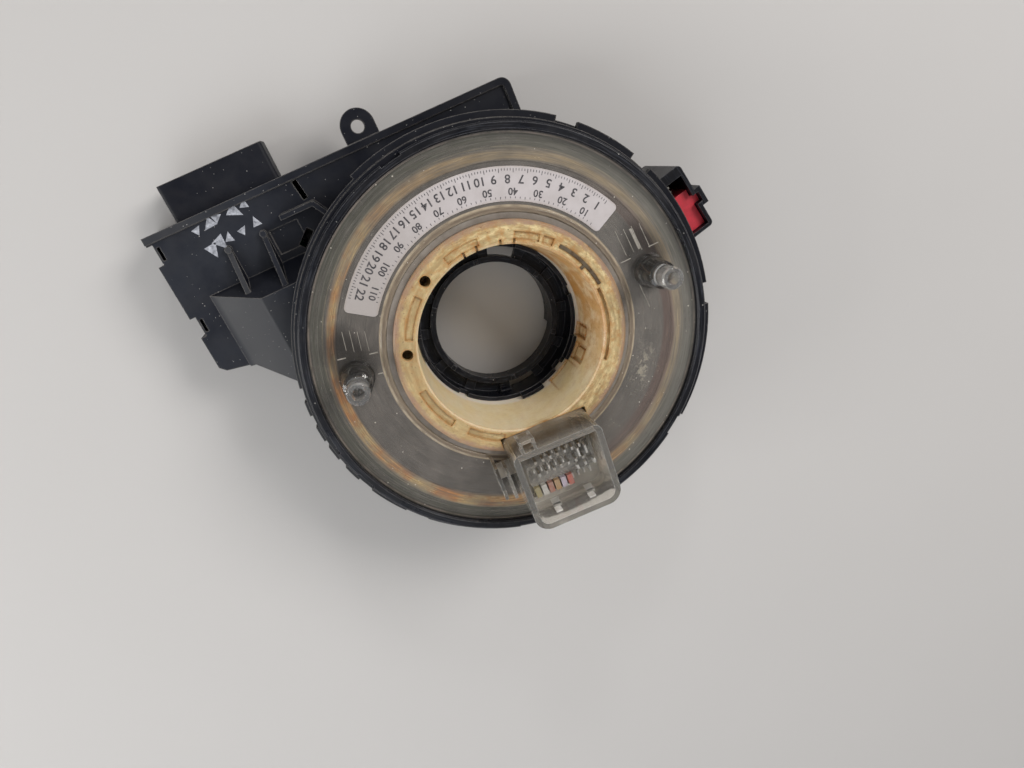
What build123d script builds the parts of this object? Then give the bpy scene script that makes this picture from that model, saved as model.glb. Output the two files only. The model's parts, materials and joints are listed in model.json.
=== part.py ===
from build123d import *
import math
import os

# Steering clock spring: a rotor that turns with the steering wheel, wired to a fixed housing by a wound
# flat ribbon.
# Millimetres. +Z is the turning axis and points to the steering wheel. z = 0 is the shaft bore's rear edge.
# X runs along the straight edge of the side arm. Angles are in degrees from +X, counter-clockwise.

# ---- clearances --------------------------------------------------------------------------------------

running_gap = 0.3           # between the turning and the fixed pieces
fit_gap = 0.15              # between pieces that are pushed together
press_gap = 0.05            # round a pin in its hole
bearing_gap = 0.1           # between the hub sleeve and the housing's bearing

# ---- heights, each above the one before ----------------------------------------------------------------

back_depth = 6.0            # rear cover's outside behind the bore's rear edge
cover_thickness = 2.0
board_room = 3.0            # under the circuit board
board_thickness = 1.6
sensor_room = 5.4           # over the circuit board
floor_thickness = 2.0
ribbon_room = 2.5           # under the ribbon
ribbon_width = 12.3
disc_room = 3.2             # over the ribbon
disc_thickness = 2.0
lip_thickness = 1.7
ring_height = 3.0           # retainer ring's skirt
flange_drop = 1.0           # flange's top under the round wall's top
flange_thickness = 2.0

back_z = -back_depth
cover_top_z = back_z + cover_thickness
board_low_z = cover_top_z + board_room
board_top_z = board_low_z + board_thickness
floor_z = board_top_z + sensor_room
floor_top_z = floor_z + floor_thickness
ribbon_low_z = floor_top_z + ribbon_room
ribbon_top_z = ribbon_low_z + ribbon_width
disc_low_z = ribbon_top_z + disc_room
disc_top_z = disc_low_z + disc_thickness
lip_low_z = disc_top_z + running_gap
rim_z = lip_low_z + lip_thickness
wall_top_z = rim_z - ring_height
flange_top_z = wall_top_z - flange_drop
flange_low_z = flange_top_z - flange_thickness

# ---- radii, each outside the one before ------------------------------------------------------------------

shaft_r = 17.2              # bore over the steering shaft's hub
shaft_wall = 1.7
web_width = 3.1             # slotted web of the drive ring
drive_ring_wall = 1.2
hub_wall = 2.1
mouth_taper = 1.55          # how much wider the sleeve is at its mouth
hub_rib = 1.0
collar_space = 6.15
collar_wall = 1.6
plug_depth = 23.0           # connector, from its back wall to its front wall
lip_room = 4.0              # from the connector's front to the mouth of the retainer ring
lip_overlap = 1.0           # how far the lip reaches over the rotor disc
wall = 2.2                  # moulded wall of the housing
flange_width = 1.8
flange_low_width = 0.8      # over the arm
ring_inset = 0.9            # retainer ring's outside, inside the round wall's

shaft_ring_r = shaft_r + shaft_wall
web_r = shaft_ring_r + web_width
drive_ring_r = web_r + drive_ring_wall
hub_bore_r = drive_ring_r + press_gap
hub_mouth_r = hub_bore_r + mouth_taper
hub_r = hub_bore_r + hub_wall
bearing_r = hub_r + bearing_gap
skirt_r = hub_r + hub_rib + collar_space
collar_r = skirt_r + collar_wall
plug_inner = hub_r - 0.35
plug_outer = plug_inner + plug_depth
lip_r = plug_outer + lip_room
chamber_r = lip_r + lip_overlap
disc_r = chamber_r - running_gap
wall_r = chamber_r + wall
ring_r = wall_r - ring_inset

# ---- housing ---------------------------------------------------------------------------------------------

flange_arc = (-50.0, 110.0)
flange_low_arcs = ((110.0, 168.0), (172.0, 176.0), (179.5, 184.0), (186.0, 190.5), (193.5, 198.5),
                   (203.5, 215.0), (222.0, 310.0))
flange_notches = (-13.5, 28.5, 51.5)
flange_step = 1.0
notch_arc = 6.0
ring_notches = (-175.0, -161.0, -108.0, -53.5, 100.0)
ring_notch_depth = 0.7
edge_chamfer = 0.4
ledge_width = 1.8           # ledge under the rotor disc
ledge_height = 2.2
bearing_wall = 1.5
bearing_height = 4.0

# side arm
arm_height = 15.0           # over the rear cover
arm_wall = 1.8
arm_rise = 4.9              # straight edge beyond the round wall
arm_reach = 18.1            # left edge beyond the round wall
arm_end_x = 28.6
arm_end_r = 2.6             # rounded corner at the far end
arm_side = 38.1             # length of the left edge
arm_corner = 1.5
shoulder_x = 9.3            # from the left edge
shoulder_y = 40.5           # from the straight edge
foot_angle = 168.2          # where the arm's lower edge meets the round wall
edge_bead_width = 1.9
edge_bead_height = 0.8
ear_x = -12.2
ear_rise = 3.3
ear_r = 4.5
ear_hole_r = 1.7
ear_thickness = 3.0
side_notch_depth = 1.5
side_notch_ys = (2.4, 22.8)     # from the straight edge
side_notch_length = 5.5
side_slot_gap = 0.5
side_slot_width = 0.8
side_slot_margin = 1.0
key_slot_x = 40.7           # from the left edge
key_slot_y = 4.8            # from the straight edge
key_slot_width = 1.3
key_slot_length = 5.2
key_slot_turn = 8.0
window_angle = 130.0        # window beside the round wall
window_gap = 1.1
window_width = 1.8
window_length = 4.9
field_x = (28.8, 36.6)      # shallow field in the arm's face, from the left edge
field_y = (11.0, 17.5)      # from the straight edge
field_depth = 0.4
clip_x = 33.3               # from the left edge
clip_y = 9.0                # from the straight edge
clip_length = 9.0
clip_thickness = 1.3
clip_height = 5.0
clip_tail = 4.6
clip_tail_turn = -60.0

# ramp block beside the round wall
block_height = 11.0         # over the arm's face
block_y = 24.3              # from the straight edge
ramp_x = 7.5                # ramp's foot, from the left edge
block_front = 4.8           # run of the block's sloping front
ramp_run = 13.0
block_fillet = 0.8
gusset_xs = (17.6, 27.3)    # from the left edge
gusset_reach = 13.4
gusset_width = 1.4
gusset_drop = 0.5
gusset_tip_r = 0.9
gusset_tip_height = 1.4
pip_r = 0.5
pip_at = (17.1, 1.2)        # small pit, from the left edge and from the block's edge

# rear cover
screw_angles = (15.0, 105.0, 195.0, 285.0)
screw_r = 1.25
screw_head_r = 2.7
screw_head_height = 1.4
screw_socket_r = 1.3
screw_length = 8.0
boss_wall = 1.95
boss_space = 1.5            # between a screw boss and the round wall
cover_hole_gap = 0.85
cover_pocket_depth = 0.8
cover_pocket_width = 10.0
cover_pocket_space = 3.0
cover_pocket_count = 12
cover_pocket_arc = 24.0

# harness socket on the straight edge, its mouth facing +Y
socket_x = 9.0              # from the left edge
socket_width = 28.3
socket_rise = 9.7           # mouth beyond the straight edge
socket_sink = 10.1          # back behind the straight edge
socket_lift = 1.6           # over the rear cover
socket_height = 11.4
socket_wall = 1.3
socket_floor = 3.0
socket_corner_r = 1.0
socket_key_width = 1.6
socket_key_height = 1.1
socket_latch_width = 7.0
socket_pin_count = 9
socket_pin_pitch = 2.54
socket_pin_rows = (4.0, 7.6)    # over the socket's underside
socket_pin_size = 0.64
socket_pin_reach = 11.0     # from the socket's floor
socket_leg_ys = (3.0, 5.6)  # behind the socket's back
pin_tail = 0.5              # under the circuit board

# side socket on the round wall, its mouth facing +Z
side_angle = 12.5
side_reach = 9.55           # beyond the round wall
side_t = (-12.0, 7.4)
side_lift = 3.0             # over the rear cover's back
side_height = 23.0
side_corner_r = 1.2
side_back_wall = 2.8
side_front_wall = 1.15
side_end_wall = 1.0
side_block = 2.8            # solid stretch at the upper end
side_floor = 5.0
side_key_reach = 1.9
side_key_t = (-6.0, -0.8)
side_key_wall = 1.2
insert_drop = 2.0           # red lock under the socket's mouth
insert_space = 4.6          # free length beside the red lock
side_pin_size = 0.6
side_pin_pitch = 1.4
side_pin_count = 3
side_pin_height = 12.0

# ---- rotor -----------------------------------------------------------------------------------------------

# hub sleeve
hub_rise = 2.5              # flange's top over the rotor disc
hub_flange_width = 5.65
hub_flange_thickness = 2.0
hub_edge = 0.5
hub_shelf_thickness = 1.6
collar_height = 8.0         # under the rotor disc's front face
hub_relief = 0.6            # depth of the recesses in the flange
hub_relief_r = (26.0, 28.0)
hub_relief_arcs = ((44.0, 50.0), (52.0, 66.0), (86.0, 106.0), (130.0, 154.0), (-176.0, -150.0),
                   (-140.0, -118.0))
hub_slit_arc = (-38.0, 6.0)
hub_slit_width = 0.9
hub_hole_angles = (121.0, 162.0)
hub_hole_r = 1.4
hub_pocket_arcs = ((-49.0, -37.0), (-33.0, -23.0))
hub_pocket_lifts = (3.0, 1.0)
hub_pocket_height = 8.0
hub_pocket_depth = 1.4
hub_pad_gap = 1.2
hub_step_arc = (-72.0, -52.0)
hub_step = 0.8
hub_tab_arcs = ((66.0, 74.0), (88.0, 96.0))
hub_tab_width = 1.4

# drive ring
drive_ring_height = 9.0
shaft_length = 5.0
web_lift = 2.0
web_thickness = 1.8
slot_count = 12
slot_phase = -164.0
slot_arc = 22.0
slot_floor = 0.6            # left under the web's slots
open_slots = (2, 7)         # the slots that go right through
dog_arc = (-30.0, 20.0)
dog_length = 5.2
dog_relief = 0.3
nub_count = 6
nub_phase = 24.0
nub_arc = 4.0
nub_height = 0.4
snap_angles = (46.0, -43.0, -87.0, 172.0)
snap_arc = 18.0
snap_height = 3.0
snap_wall = 1.0
gap_angles = (0.0, 90.0, 130.0, -60.0, -140.0)
gap_arc = 7.0
gap_depth = 2.4

# rotor disc and its driver pins
track_width = 2.9           # grease track under the disc
track_space = 4.5           # from the track to the disc's edge
track_height = 1.0
collar_bead = 0.5           # collar's rounded top over the disc
collar_round = 0.4
pin_space = 7.1             # driver pins' circle, outside the collar
pin_angles = (0.7, 168.0)
pin_foot_r = 4.6
pin_r = 3.6
pin_tip_r = 2.9
pin_hole_r = 1.6
pin_wall = 1.2
pin_shoulder = 10.0         # over the rotor disc
pin_height = 16.0
pin_cup_depth = 2.4
pin_rib_places = (-4.8, -3.2, -0.1, 1.6)    # outwards from the pin's centre
pin_rib_start = 6.0
pin_rib_length = 8.0
pin_rib_width = 0.45
pin_rib_height = 1.4
pin_bar_places = ((-5.4, 5.5), (2.9, 5.5), (-5.5, 0.0), (4.0, 0.0))

# connector
plug_angle = -94.2
plug_width = 24.4
plug_height = 16.0
plug_wall = 1.6
plug_floor = 3.0
plug_corner_r = 4.0
window_t = (-4.3, 5.7)      # latch windows in the front wall
latch_window_width = 2.2
latch_window_height = 4.0
shelf_depth = 9.5           # raised shelf that holds the contacts
shelf_start = 3.6
shelf_height = 3.0
plug_back_r = 2.0
loop_t = (-9.4, -5.2)       # latch loop on the back wall
loop_reach = 3.2
loop_height = 6.0
slat_ts = (-13.9, -16.6)    # guide slats beside the connector
slat_start = (6.5, 4.2)
slat_length = 9.5
slat_width = 0.9
slat_height = (6.0, 9.0)
web_t = (7.2, 9.6)          # inner ribs on the right
web_rib_width = 0.8
web_cross_rows = (6.2, 9.6, 13.0)   # from the back wall
blade_pitch = 2.1
blades_per_row = 7
blade_rows = (6.5, 10.2)    # from the back wall
blade_across = 0.6
blade_along = 0.9
blade_height = 4.0
sleeve_row = 14.7           # from the back wall
sleeve_first_t = -8.0
sleeve_count = 6
sleeve_pitch = 1.9
sleeve_size = 1.5
sleeve_length = 3.0
sleeve_height = 4.5

# sticker on the rotor disc
label_space = 1.1           # outside the collar
label_width = 8.5
label_arc = (26.5, 145.0)
label_thickness = 0.15
label_corner_r = 1.2

# spring strip on the hub flange
spring_space = 3.7          # outside the sleeve's bore
spring_arc = (8.0, 40.0)
spring_width = 0.8
spring_height = 0.6
spring_proud = 0.3
spring_tail_angle = 22.0
spring_tail = 1.6

# ---- ribbon and sensor -----------------------------------------------------------------------------------

ribbon_turns = 5
ribbon_thickness = 0.35
ribbon_free = 1.2           # between the ribbon and its terminals' faces
inner_end_width = 16.0
inner_end_thickness = 1.9
outer_end_angle = 140.0
outer_end_arc = 12.0
outer_end_thickness = 1.5
outer_end_gap = 0.5
board_hole_gap = 2.65
board_margin = 1.2          # beyond the harness socket's last pin
code_disc_lift = 1.8        # over the circuit board
code_disc_thickness = 0.8
code_disc_width = 7.6
code_windows = 24
code_window_length = 2.0
code_rim = 1.0
barrier_angle = 60.0
barrier_width = 9.0
barrier_length = 7.5
barrier_grip = 3.5
barrier_height = 4.9
chip_angle = 95.0
chip_size = (9.0, 9.0, 1.5)
choke_angle = 75.0
choke_size = (6.0, 4.0, 3.0)
chip_space = 4.0            # outside the code disc

# ---- places that follow from the sizes -------------------------------------------------------------------

arm_left = -wall_r - arm_reach
arm_top = wall_r + arm_rise
arm_face_z = cover_top_z + arm_height
block_top_z = arm_face_z + block_height
block_edge_y = arm_top - block_y
boss_r = screw_r + boss_wall
screw_ring_r = chamber_r - boss_r - boss_space
socket_left = arm_left + socket_x
socket_back_y = arm_top - socket_sink
socket_mouth_y = arm_top + socket_rise
socket_low_z = cover_top_z + socket_lift
socket_top_z = socket_low_z + socket_height
side_n = wall_r + side_back_wall
side_face_n = wall_r + side_reach
harness_span = (socket_pin_count - 1) * socket_pin_pitch
board_edge_x = socket_x + socket_width / 2 + harness_span / 2 + board_margin    # from the left edge
side_cavity_n = (side_n, side_face_n - side_front_wall)
side_cavity_t = (side_t[0] + side_end_wall, side_t[1] - side_block)
side_low_z = back_z + side_lift
side_top_z = side_low_z + side_height
side_floor_z = side_low_z + side_floor
insert_end_t = side_cavity_t[1] - insert_space
hub_top_z = disc_top_z + hub_rise
hub_flange_r = hub_r + hub_flange_width
hub_shelf_z = disc_top_z - collar_height
bearing_top_z = floor_z + bearing_height
shaft_space_r = shaft_r + dog_relief
pin_ring_r = collar_r + pin_space
pin_shoulder_z = disc_top_z + pin_shoulder
pin_tip_z = disc_top_z + pin_height
plug_top_z = disc_top_z + plug_height
plug_floor_z = disc_top_z + plug_floor
shelf_top_z = plug_floor_z + shelf_height
label_r = collar_r + label_space
spring_r = hub_bore_r + spring_space
inner_end_r = collar_r + press_gap
outer_end_r = chamber_r - outer_end_gap - outer_end_thickness
ribbon_start_r = inner_end_r + inner_end_thickness + ribbon_free
ribbon_end_r = outer_end_r - ribbon_free
board_hole_r = hub_r + board_hole_gap
code_disc_z = board_top_z + code_disc_lift
code_disc_r = hub_r + press_gap + code_disc_width
over_z = plug_top_z + pin_tip_z     # above everything, for cuts
under_z = back_z - back_depth       # below everything, for cuts


# ---- helpers -----------------------------------------------------------------------------------------

def ring(outer_r, inner_r, z_low, z_high):
    return Pos(0, 0, z_low) * extrude(Circle(outer_r) - Circle(inner_r), z_high - z_low)


def rod(x, y, radius, z_low, z_high):
    return Pos(x, y, z_low) * extrude(Circle(radius), z_high - z_low)


def polar(radius, angle):
    return (radius * math.cos(math.radians(angle)), radius * math.sin(math.radians(angle)))


def sector(outer_r, inner_r, start, end):
    """A flat ring sector between two angles."""
    front = CenterArc((0, 0), outer_r, start, end - start)
    back = CenterArc((0, 0), inner_r, end, start - end)
    return make_face(Curve() + [front, Line(front @ 1, back @ 0), back, Line(back @ 1, front @ 0)])


def ring_sector(outer_r, inner_r, start, end, z_low, z_high):
    return Pos(0, 0, z_low) * extrude(sector(outer_r, inner_r, start, end), z_high - z_low)


def block(x, y, z):
    """A box from three pairs of lowest and highest values."""
    box = Box(x[1] - x[0], y[1] - y[0], z[1] - z[0], align=(Align.MIN, Align.MIN, Align.MIN))
    return Pos(x[0], y[0], z[0]) * box


def turned_block(angle, r, t, z):
    """A box whose first direction points outwards at an angle, and whose second runs across."""
    return Rot(0, 0, angle) * block(r, t, z)


def around(value, size):
    return (value - size / 2, value + size / 2)


def shrunk(pair, gap):
    return (pair[0] + gap, pair[1] - gap)


def from_left(pair):
    return (arm_left + pair[0], arm_left + pair[1])


def from_top(pair):
    return (arm_top - pair[1], arm_top - pair[0])


def save(shape, name):
    solids = shape.solids()
    whole = solids[0] if len(solids) == 1 else Compound(children=list(solids))
    export_step(whole, f"parts/{name}.step")


# ---- housing -----------------------------------------------------------------------------------------

def arm_plan(inset=0.0):
    """Plan of the side arm, closed inside the round housing."""
    bottom = arm_top - arm_side
    outline = Polyline((arm_left, arm_top), (arm_end_x, arm_top), (arm_end_x, 0), (-wall_r / 2, 0),
                       polar(wall_r, foot_angle), (arm_left + shoulder_x, arm_top - shoulder_y),
                       (arm_left + arm_corner, bottom - arm_corner / 2), (arm_left, bottom + arm_corner / 2),
                       close=True)
    face = make_face(outline)
    far_corner = face.vertices().sort_by_distance((arm_end_x, arm_top))[0]
    face = fillet(far_corner, arm_end_r)
    return offset(face, -inset, kind=Kind.INTERSECTION) if inset else face


def edge_bead():
    """Raised edge along the arm's straight side and round its far corner."""
    heights = (arm_face_z - arm_wall / 2, arm_face_z + edge_bead_height)
    rim = Pos(0, 0, heights[0]) * extrude(arm_plan() - arm_plan(edge_bead_width), heights[1] - heights[0])
    side_x = arm_end_x - arm_end_r - edge_bead_width
    straight = block((arm_left, arm_end_x), (arm_top - edge_bead_width, arm_top), heights)
    return rim & (straight + block((side_x, arm_end_x), (0, arm_top), heights))


def ramp_block():
    """Raised box where the arm meets the round wall, with a sloping front and a ramp on its left."""
    inside_x = -chamber_r / math.sqrt(2)
    foot = polar(wall_r, foot_angle)
    foot_x = arm_left + ramp_x
    head_x = foot_x + ramp_run
    front_y = block_edge_y + block_front
    shoulder = (arm_left + shoulder_x, arm_top - shoulder_y)
    outline = Polyline((foot_x, front_y), (inside_x, front_y), (inside_x, foot[1]), foot, shoulder,
                       (foot_x, shoulder[1]), close=True)
    root_z = arm_face_z - arm_wall
    solid = Pos(0, 0, root_z) * extrude(make_face(outline), block_top_z - root_z)
    ramp = make_face(Polyline((foot_x - 1, arm_face_z), (foot_x, arm_face_z), (head_x, block_top_z),
                              (head_x, over_z), (foot_x - 1, over_z), close=True))
    front = make_face(Polyline((front_y + 1, arm_face_z), (front_y, arm_face_z), (block_edge_y, block_top_z),
                               (block_edge_y, over_z), (front_y + 1, over_z), close=True))
    solid -= extrude(Plane.XZ * ramp, 2 * wall_r, both=True)
    solid -= extrude(Plane.YZ * front, -2 * wall_r, both=True)
    ridge = solid.edges().filter_by(Axis.Y).group_by(Axis.Z)[-1]
    solid = fillet(ridge.sort_by(Axis.X)[0], block_fillet)
    return solid - rod(arm_left + pip_at[0], block_edge_y - pip_at[1], pip_r, block_top_z - 2 * pip_r, over_z)


def gusset(x):
    """Thin triangular rib from the arm's face up to the ramp block's edge, no higher than the ramp."""
    root_z = arm_face_z - arm_wall / 2
    reach_y = block_edge_y + gusset_reach
    up_ramp = min(1, (x - gusset_width / 2 - arm_left - ramp_x) / ramp_run)
    head_z = arm_face_z + up_ramp * block_height - gusset_drop
    side = make_face(Polyline((block_edge_y, root_z), (reach_y, root_z),
                              (reach_y, arm_face_z + gusset_drop), (block_edge_y, head_z), close=True))
    rib = Pos(x, 0, 0) * extrude(Plane.YZ * side, gusset_width / 2, both=True)
    return rib + rod(x, reach_y, gusset_tip_r, root_z, arm_face_z + gusset_tip_height)


def ear():
    """Lug on the straight edge."""
    low_z = arm_face_z - ear_thickness
    lug = rod(ear_x, arm_top + ear_rise, ear_r, low_z, arm_face_z)
    return lug + block(around(ear_x, 2 * ear_r), (arm_top - wall, arm_top + ear_rise), (low_z, arm_face_z))


def clip():
    """Bent wall that holds the harness on the arm's face."""
    heights = (arm_face_z - arm_wall / 2, arm_face_z + clip_height)
    corner = (arm_left + clip_x + clip_length, arm_top - clip_y)
    straight = block((corner[0] - clip_length, corner[0]), around(corner[1], clip_thickness), heights)
    tail = block((-clip_thickness / 4, clip_tail), around(0, clip_thickness), heights)
    return straight + Pos(*corner, 0) * Rot(0, 0, clip_tail_turn) * tail


def boss_places():
    return [polar(screw_ring_r, angle) for angle in screw_angles]


def flange():
    root_r = wall_r - wall / 2
    low_r = wall_r + flange_low_width
    rim = ring_sector(wall_r + flange_width, root_r, *flange_arc, flange_low_z, flange_top_z)
    for angle in flange_notches:
        rim -= ring_sector(wall_r + 2 * flange_width, wall_r, *around(angle, notch_arc), under_z, over_z)
    # narrow step under the flange, and low lugs where the flange ends
    rim += ring_sector(low_r, root_r, *flange_arc, flange_low_z - flange_step, flange_low_z)
    for arc in flange_low_arcs:
        rim += ring_sector(low_r, root_r, *arc, flange_low_z - flange_step, flange_top_z)
    return rim


def side_notch_cuts():
    """Notches in the arm's left edge."""
    depth = (arm_left - side_notch_depth, arm_left + side_notch_depth)
    return [block(depth, from_top((y, y + side_notch_length)), (under_z, over_z)) for y in side_notch_ys]


def arm_slot_cuts():
    """Slots through the arm, from its face to its back, and small ones beside the edge notches."""
    through = (under_z, over_z)
    key = block(around(0, key_slot_width), around(0, key_slot_length), through)
    cuts = [Pos(arm_left + key_slot_x, arm_top - key_slot_y, 0) * Rot(0, 0, key_slot_turn) * key]
    window_r = wall_r + window_gap
    window = (window_r, window_r + window_width)
    cuts.append(turned_block(window_angle, window, around(0, window_length), through))
    return cuts


def arm_face_cuts():
    """Shallow field in the arm's face, and the thin slots beside its edge notches."""
    over_face = arm_face_z + edge_bead_height
    cuts = [block(from_left(field_x), from_top(field_y), (arm_face_z - field_depth, over_face))]
    slot_x = side_notch_depth + side_slot_gap
    for y in side_notch_ys:
        span = shrunk((y, y + side_notch_length), side_slot_margin)
        cuts.append(block(from_left((slot_x, slot_x + side_slot_width)), from_top(span),
                          (arm_face_z - 2 * arm_wall, over_face)))
    return cuts


def stator_housing():
    body = rod(0, 0, wall_r, cover_top_z, wall_top_z)
    body += Pos(0, 0, cover_top_z) * extrude(arm_plan(), arm_height)
    body += edge_bead()
    for cut in arm_face_cuts():
        body -= cut
    body += ear() + clip() + ramp_block() + flange()
    for x in gusset_xs:
        body += gusset(arm_left + x)
    # ribbon chamber above the floor, board space below it, and the hollow of the arm
    body -= rod(0, 0, chamber_r, floor_top_z, over_z)
    body -= rod(0, 0, chamber_r, cover_top_z, floor_z)
    hollow = Pos(0, 0, cover_top_z) * extrude(arm_plan(wall), arm_height - arm_wall)
    body -= hollow - rod(0, 0, wall_r, floor_z, over_z)
    # ledge, bearing and screw bosses
    ledge_top_z = disc_low_z - running_gap
    body += ring(wall_r - wall / 2, chamber_r - ledge_width, ledge_top_z - ledge_height, ledge_top_z)
    body += ring(bearing_r + bearing_wall, bearing_r, floor_z, bearing_top_z)
    body -= rod(0, 0, bearing_r, under_z, over_z)
    for x, y in boss_places():
        body += rod(x, y, boss_r, cover_top_z, floor_z + floor_thickness / 2)
    for x, y in boss_places():
        body -= rod(x, y, screw_r + press_gap, under_z, cover_top_z + screw_length)
    body -= rod(ear_x, arm_top + ear_rise, ear_hole_r, under_z, over_z)
    for cut in side_notch_cuts() + arm_slot_cuts():
        body -= cut
    body -= outer_end_cut()
    return body - harness_socket_envelope(fit_gap)


def retainer_ring():
    whole = ring(ring_r, lip_r, lip_low_z, rim_z) + ring(ring_r, chamber_r, wall_top_z, rim_z)
    front_edges = whole.edges().filter_by(GeomType.CIRCLE).group_by(Axis.Z)[-1]
    whole = chamfer(front_edges, edge_chamfer)
    for angle in ring_notches:
        whole -= ring_sector(wall_r, ring_r - ring_notch_depth, *around(angle, notch_arc), under_z, over_z)
    return whole


def rear_cover():
    plan = arm_plan() + Circle(wall_r) - Circle(hub_r + cover_hole_gap)
    plate = Pos(0, 0, back_z) * extrude(plan, cover_thickness)
    # low rib that stands inside the round wall and carries the circuit board
    rib_r = chamber_r - fit_gap
    plate += ring(rib_r, rib_r - wall / 2, cover_top_z - cover_thickness / 2, board_low_z)
    for x, y in boss_places():
        plate -= rod(x, y, screw_r + fit_gap, under_z, over_z)
        plate -= rod(x, y, screw_head_r + fit_gap, under_z, back_z + screw_head_height)
    # shallow pockets that leave stiffening ribs between them
    pocket_r = hub_r + cover_hole_gap + cover_pocket_space
    step = 360 / cover_pocket_count
    for i in range(cover_pocket_count):
        arc = around((i + 0.5) * step, cover_pocket_arc)
        plate -= ring_sector(pocket_r + cover_pocket_width, pocket_r, *arc, under_z, back_z + cover_pocket_depth)
    for cut in side_notch_cuts() + arm_slot_cuts():
        plate -= cut
    return plate


def cover_screws():
    group = Part()
    for x, y in boss_places():
        head = rod(0, 0, screw_head_r, back_z, back_z + screw_head_height)
        head -= Pos(0, 0, back_z) * extrude(RegularPolygon(screw_socket_r, 6), screw_head_height / 2)
        shank = rod(0, 0, screw_r, back_z + screw_head_height, cover_top_z + screw_length)
        group += Pos(x, y, 0) * (head + shank)
    return group


# ---- sockets -----------------------------------------------------------------------------------------

def harness_socket_envelope(gap=0.0):
    x = shrunk((socket_left, socket_left + socket_width), -gap)
    z = shrunk((socket_low_z, socket_top_z), -gap)
    return block(x, (socket_back_y - gap, socket_mouth_y + gap), z)


def harness_pin_places():
    first = socket_left + socket_width / 2 - harness_span / 2
    rows = [(socket_low_z + rise, socket_back_y - back) for rise, back in zip(socket_pin_rows, socket_leg_ys)]
    return [(first + i * socket_pin_pitch, z, leg_y) for z, leg_y in rows for i in range(socket_pin_count)]


def harness_socket():
    """Socket with a keyed cavity and a latch ramp on its face."""
    x = (socket_left, socket_left + socket_width)
    z = (socket_low_z, socket_top_z)
    cavity_y = (socket_back_y + socket_floor, socket_mouth_y + 1)
    shell = harness_socket_envelope()
    shell = fillet(shell.edges().filter_by(Axis.Y), socket_corner_r)
    shell -= block(shrunk(x, socket_wall), cavity_y, shrunk(z, socket_wall))
    for share in (0.2, 0.8):
        middle = x[0] + share * socket_width
        key_z = (z[0] + socket_wall / 2, z[0] + socket_wall + socket_key_height)
        shell += block(around(middle, socket_key_width), (cavity_y[0], socket_mouth_y - socket_wall), key_z)
    latch_y = (socket_mouth_y - 2 * socket_wall, socket_mouth_y - socket_wall)
    shell -= block(around(sum(x) / 2, socket_latch_width), latch_y, (under_z, z[0] + socket_height / 2))
    hole = socket_pin_size + 2 * press_gap
    for pin_x, pin_z, leg_y in harness_pin_places():
        shell -= block(around(pin_x, hole), (socket_back_y - 1, socket_mouth_y + 1), around(pin_z, hole))
    return shell


def harness_pins():
    """Right-angled pins from the socket down through the circuit board."""
    group = Part()
    end_y = socket_back_y + socket_floor + socket_pin_reach
    for x, z, leg_y in harness_pin_places():
        across = around(x, socket_pin_size)
        pin = block(across, (leg_y - socket_pin_size / 2, end_y), around(z, socket_pin_size))
        pin += block(across, around(leg_y, socket_pin_size), (board_low_z - pin_tail, z))
        group += pin
    return group


def side_key_n():
    return (side_cavity_n[1] - side_front_wall, side_face_n + side_key_reach - side_key_wall)


def side_socket():
    shell = turned_block(side_angle, (wall_r - wall, side_face_n), side_t, (side_low_z, side_top_z))
    shell = fillet(shell.edges().filter_by(Axis.Z).sort_by(Axis.X)[-2:], side_corner_r)
    shell += turned_block(side_angle, (side_cavity_n[1], side_face_n + side_key_reach), side_key_t,
                          (side_low_z, side_top_z))
    shell -= rod(0, 0, wall_r + press_gap, under_z, over_z)
    shell -= turned_block(side_angle, side_cavity_n, side_cavity_t, (side_floor_z, over_z))
    shell -= turned_block(side_angle, side_key_n(), shrunk(side_key_t, side_key_wall), (side_floor_z, over_z))
    hole = side_pin_size + 2 * press_gap
    for t in side_pin_ts():
        shell -= turned_block(side_angle, around(side_pin_n(), hole), around(t, hole), (under_z, over_z))
    return shell


def red_insert():
    """Red lock that stands in the side socket."""
    z = (side_floor_z, side_top_z - insert_drop)
    across = (side_cavity_t[0] + fit_gap, insert_end_t)
    body = turned_block(side_angle, shrunk(side_cavity_n, fit_gap), across, z)
    return body + turned_block(side_angle, shrunk(side_key_n(), fit_gap),
                               shrunk(side_key_t, side_key_wall + fit_gap), z)


def side_pin_n():
    return sum(side_cavity_n) / 2


def side_pin_ts():
    middle = insert_end_t + insert_space / 2
    first = middle - (side_pin_count - 1) * side_pin_pitch / 2
    return [first + i * side_pin_pitch for i in range(side_pin_count)]


def side_pins():
    group = Part()
    for t in side_pin_ts():
        group += turned_block(side_angle, around(side_pin_n(), side_pin_size), around(t, side_pin_size),
                              (side_low_z, side_floor_z + side_pin_height))
    return group


# ---- electronics and ribbon --------------------------------------------------------------------------

def circuit_board():
    arm = arm_plan(wall + running_gap)
    keep = Pos(arm_left + board_edge_x / 2, 0) * Rectangle(board_edge_x, 2 * (socket_back_y - press_gap))
    plan = (arm & keep) + Circle(chamber_r - running_gap) - Circle(board_hole_r)
    board = Pos(0, 0, board_low_z) * extrude(plan, board_thickness)
    for x, y in boss_places():
        board -= rod(x, y, boss_r + running_gap, under_z, over_z)
    hole = socket_pin_size + 2 * press_gap
    for x, z, leg_y in harness_pin_places():
        board -= block(around(x, hole), around(leg_y, hole), (under_z, over_z))
    return board


def board_chips():
    """Sensor processor and a choke on the circuit board."""
    group = Part()
    for angle, size in ((chip_angle, chip_size), (choke_angle, choke_size)):
        start = code_disc_r + chip_space
        heights = (board_top_z, board_top_z + size[2])
        group += turned_block(angle, (start, start + size[0]), around(0, size[1]), heights)
    return group


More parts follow.
